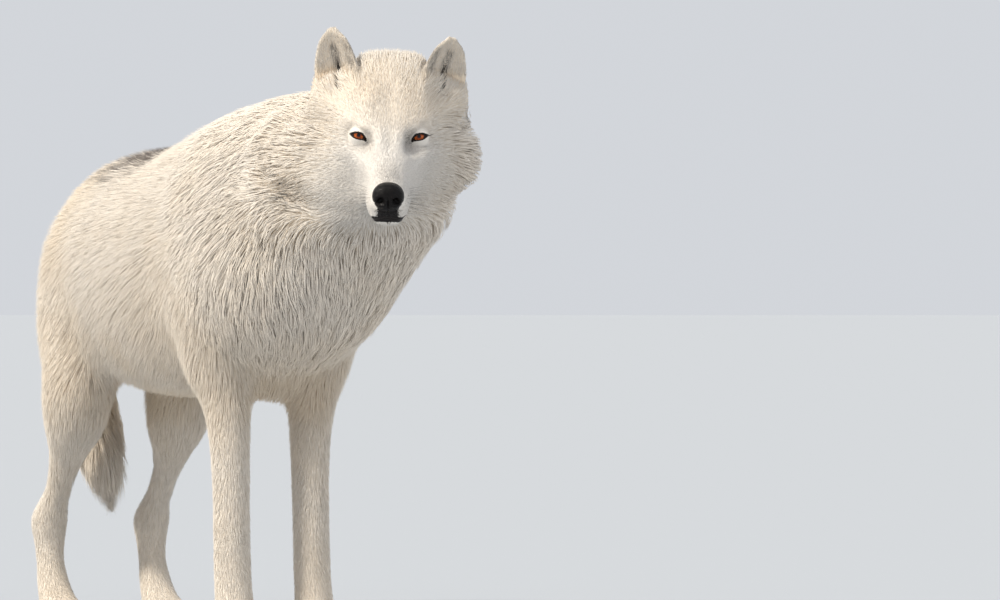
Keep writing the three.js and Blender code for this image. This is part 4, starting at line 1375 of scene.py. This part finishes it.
def tuft_faces(rings):
    """The triangles of one tuft: a fan at the root, walls between the rings and a fan at the tip."""
    faces = [(0, 1 + (corner + 1) % 3, 1 + corner) for corner in range(3)]
    for ring in range(rings - 1):
        for corner in range(3):
            a, b = 1 + ring * 3 + corner, 1 + ring * 3 + (corner + 1) % 3
            faces += [(a, b, b + 3), (a, b + 3, a + 3)]
    last = 1 + (rings - 1) * 3
    faces += [(last + corner, last + (corner + 1) % 3, last + 3) for corner in range(3)]
    return np.array(faces)


def tuft_piece(name, chosen, ring_stations):
    """One object from the chosen tufts, with rings at the given stations."""
    rings = len(ring_stations)
    line = path[chosen]
    along = unit(np.gradient(line, axis=1))[:, ring_stations]
    up = ups[chosen][:, ring_stations]
    across = unit(np.cross(up, along))
    above = np.cross(along, across)
    twist = rng.uniform(-0.5, 0.5, len(chosen))[:, None, None] + CORNERS[None, None]
    size = width[chosen][:, None] / 2 * np.array([RING_SIZES[STATIONS[n]] for n in ring_stations])
    offset = across[:, :, None] * np.cos(twist)[..., None]
    offset = offset + above[:, :, None] * (np.sin(twist) * FLATNESS)[..., None]
    solid = line[:, ring_stations, None] + offset * size[:, :, None, None]
    count = len(chosen)
    points = np.concatenate([line[:, :1], solid.reshape(count, rings * 3, 3), line[:, -1:]], axis=1)
    round_way = across[:, :, None] * np.cos(twist)[..., None] + above[:, :, None] * np.sin(twist)[..., None]
    soft = unit(round_way * (1 - SOFTNESS) + up[:, :, None] * SOFTNESS).reshape(count, rings * 3, 3)
    normals = np.concatenate([ups[chosen][:, :1], soft, ups[chosen][:, -1:]], axis=1)
    per_tuft = points.shape[1]
    faces = tuft_faces(rings)[None] + (np.arange(count) * per_tuft)[:, None, None]
    mesh = new_mesh(name, points.reshape(-1, 3), faces.reshape(-1, 3), 3)
    mesh.normals_split_custom_set_from_vertices(normals.reshape(-1, 3).astype(np.float32))
    tip = np.concatenate([[0.0], np.repeat(STATIONS[ring_stations], 3), [1.0]])
    store(mesh, "tip", np.tile(tip, count))
    store(mesh, "chance", np.repeat(mix(rng.random(count), lock_chance[lock_of[chosen]], 0.35), per_tuft))
    for mark, values in zip(MARKS, markings(roots[chosen]).T):
        store(mesh, mark, np.repeat(values, per_tuft))
    patch = np.column_stack([np.concatenate([[0.5], np.tile([0.0, 0.5, 1.0], rings), [0.5]]), tip]) - 0.5
    uv = (root_uv[chosen][:, None] + patch[None] * BAKE_PATCH).reshape(-1, 2)[faces.ravel()]
    layer = mesh.uv_layers.new(name="OFBake")
    layer.data.foreach_set("uv", uv.astype(np.float32).ravel())
    return new_object(name, mesh, coat.material)


lock_chance = rng.random(len(leaders))
TAIL_BEHIND = -0.575
LEGS_BELOW = 0.36
on_head = head_share(to_head(roots)) > 0.5
on_tail = roots[:, 0] < TAIL_BEHIND
on_legs = (roots[:, 2] < LEGS_BELOW) & ~on_tail
on_neck = (roots[:, 0] + 0.55 * roots[:, 2] > 0.60) & ~on_head & ~on_legs
on_trunk = ~(on_head | on_tail | on_legs | on_neck)
REGIONS = {"head": on_head, "tail": on_tail, "legs": on_legs, "neck": on_neck, "trunk": on_trunk}
total = 0
for name, mask in REGIONS.items():
    for kind, ring_stations, of_kind in (("straight", [1], ~wavy), ("wavy", [1, 2], wavy)):
        members = np.flatnonzero(mask & of_kind)
        if not len(members):
            continue
        members = members[np.argsort(roots[members, 0])]
        triangles = len(members) * 6 * len(ring_stations)
        for number, part in enumerate(np.array_split(members, math.ceil(triangles / PIECE_TRIANGLES))):
            piece = tuft_piece(f"coat_{name}_{kind}_{number + 1}", part, ring_stations)
            total += len(piece.data.polygons)
            print(piece.name, len(part), "tufts", len(piece.data.polygons), "triangles")
print("coat triangles", total)

# %% [markdown]
# ## Whiskers
# Long stiff hairs grow in rows from the pads beside the nose. Each is a thin spindle of its own, wider
# apart than fur, and bends back and down a little under its weight.

# %% Whiskers
WHISKER_ROWS = [(104, 21, -56), (102, 23, -62), (99, 25, -68), (94, 27, -74)]
WHISKERS_IN_ROW = 5
WHISKER_STATIONS = 7
WHISKER_SHELL = np.vstack([[(2, 1, 0)], tuft_faces(WHISKER_STATIONS - 1)[3:] - 1])  # cut flat at the root
WHISKER_THICK = 0.22 * MM
WHISKER_TIP = 0.04 * MM

whisker_finish = Finish("whisker horn", 0.4)
whisker_tone = whisker_finish.span(whisker_finish.attribute("tip"), 0.1, 0.7)
whisker_grain = whisker_finish.noise(900, 2)
whisker_grain = whisker_finish.blend(whisker_grain, (0.16, 0.14, 0.12, 1), (0.30, 0.26, 0.23, 1))
whisker_finish.colour(whisker_finish.blend(whisker_tone, whisker_grain, (0.55, 0.50, 0.45, 1)))

whisker_points, whisker_faces, whisker_tips = [], [], []
for side in (1, -1):
    for row_number, row_start in enumerate(WHISKER_ROWS):
        for number in range(WHISKERS_IN_ROW):
            start = np.array(row_start) * [1, side, 1] + [-9.0 * number, side * 1.5 * number, 0.5 * number]
            root = settle(from_head(start[None]), 6)[0]
            out = np.array([0.15 - 0.22 * number, side * 1.0, 0.10 - 0.16 * row_number])
            out = unit(out + rng.normal(0, 0.07, 3)) @ HEAD_AXES
            reach = rng.uniform(38, 74) * MM * (0.75 + 0.08 * number)
            share = np.linspace(0, 1, WHISKER_STATIONS)[:, None]
            drop = (head_x * -0.35 + np.array([0, 0, -0.22])) * reach
            line = root + out * reach * share + drop * share**2
            line[0] -= out * 0.002
            first = unit(np.cross(out, UP))
            second = np.cross(out, first)
            thick = WHISKER_THICK * (1 - share[:-1] ** 1.5) + WHISKER_TIP
            rings = [line[:-1] + (first * math.cos(a) + second * math.sin(a)) * thick for a in CORNERS]
            solid = np.stack(rings, axis=1).reshape(-1, 3)
            whisker_faces.append(WHISKER_SHELL + sum(len(points) for points in whisker_points))
            whisker_points.append(np.vstack([solid, line[-1:]]))
            whisker_tips.append(np.append(np.repeat(share[:-1, 0], 3), 1.0))
whisker_mesh = new_mesh("whiskers", np.concatenate(whisker_points), np.concatenate(whisker_faces), 3)
store(whisker_mesh, "tip", np.concatenate(whisker_tips))
new_object("whiskers", whisker_mesh, whisker_finish.material)
print("whiskers", len(whisker_points))

# %% [markdown]
# ## Claws
# The imported claws have the right shape, so they stay. Their finish is dark horn with fine grain along the
# claw.

# %% Claws
horn = Finish("claw horn", 0.38)
horn_grain = horn.noise(260, 4, stretch=(1, 4, 4))
horn.colour(horn.blend(horn.span(horn_grain, 0.35, 0.7), (0.030, 0.022, 0.017, 1), (0.16, 0.12, 0.09, 1)))
horn.bump(horn_grain, 0.0004)
for name in NODES:
    if name.startswith("claw_"):
        NODES[name].data.materials.clear()
        NODES[name].data.materials.append(horn.material)
print("claws", sum(name.startswith("claw_") for name in NODES))
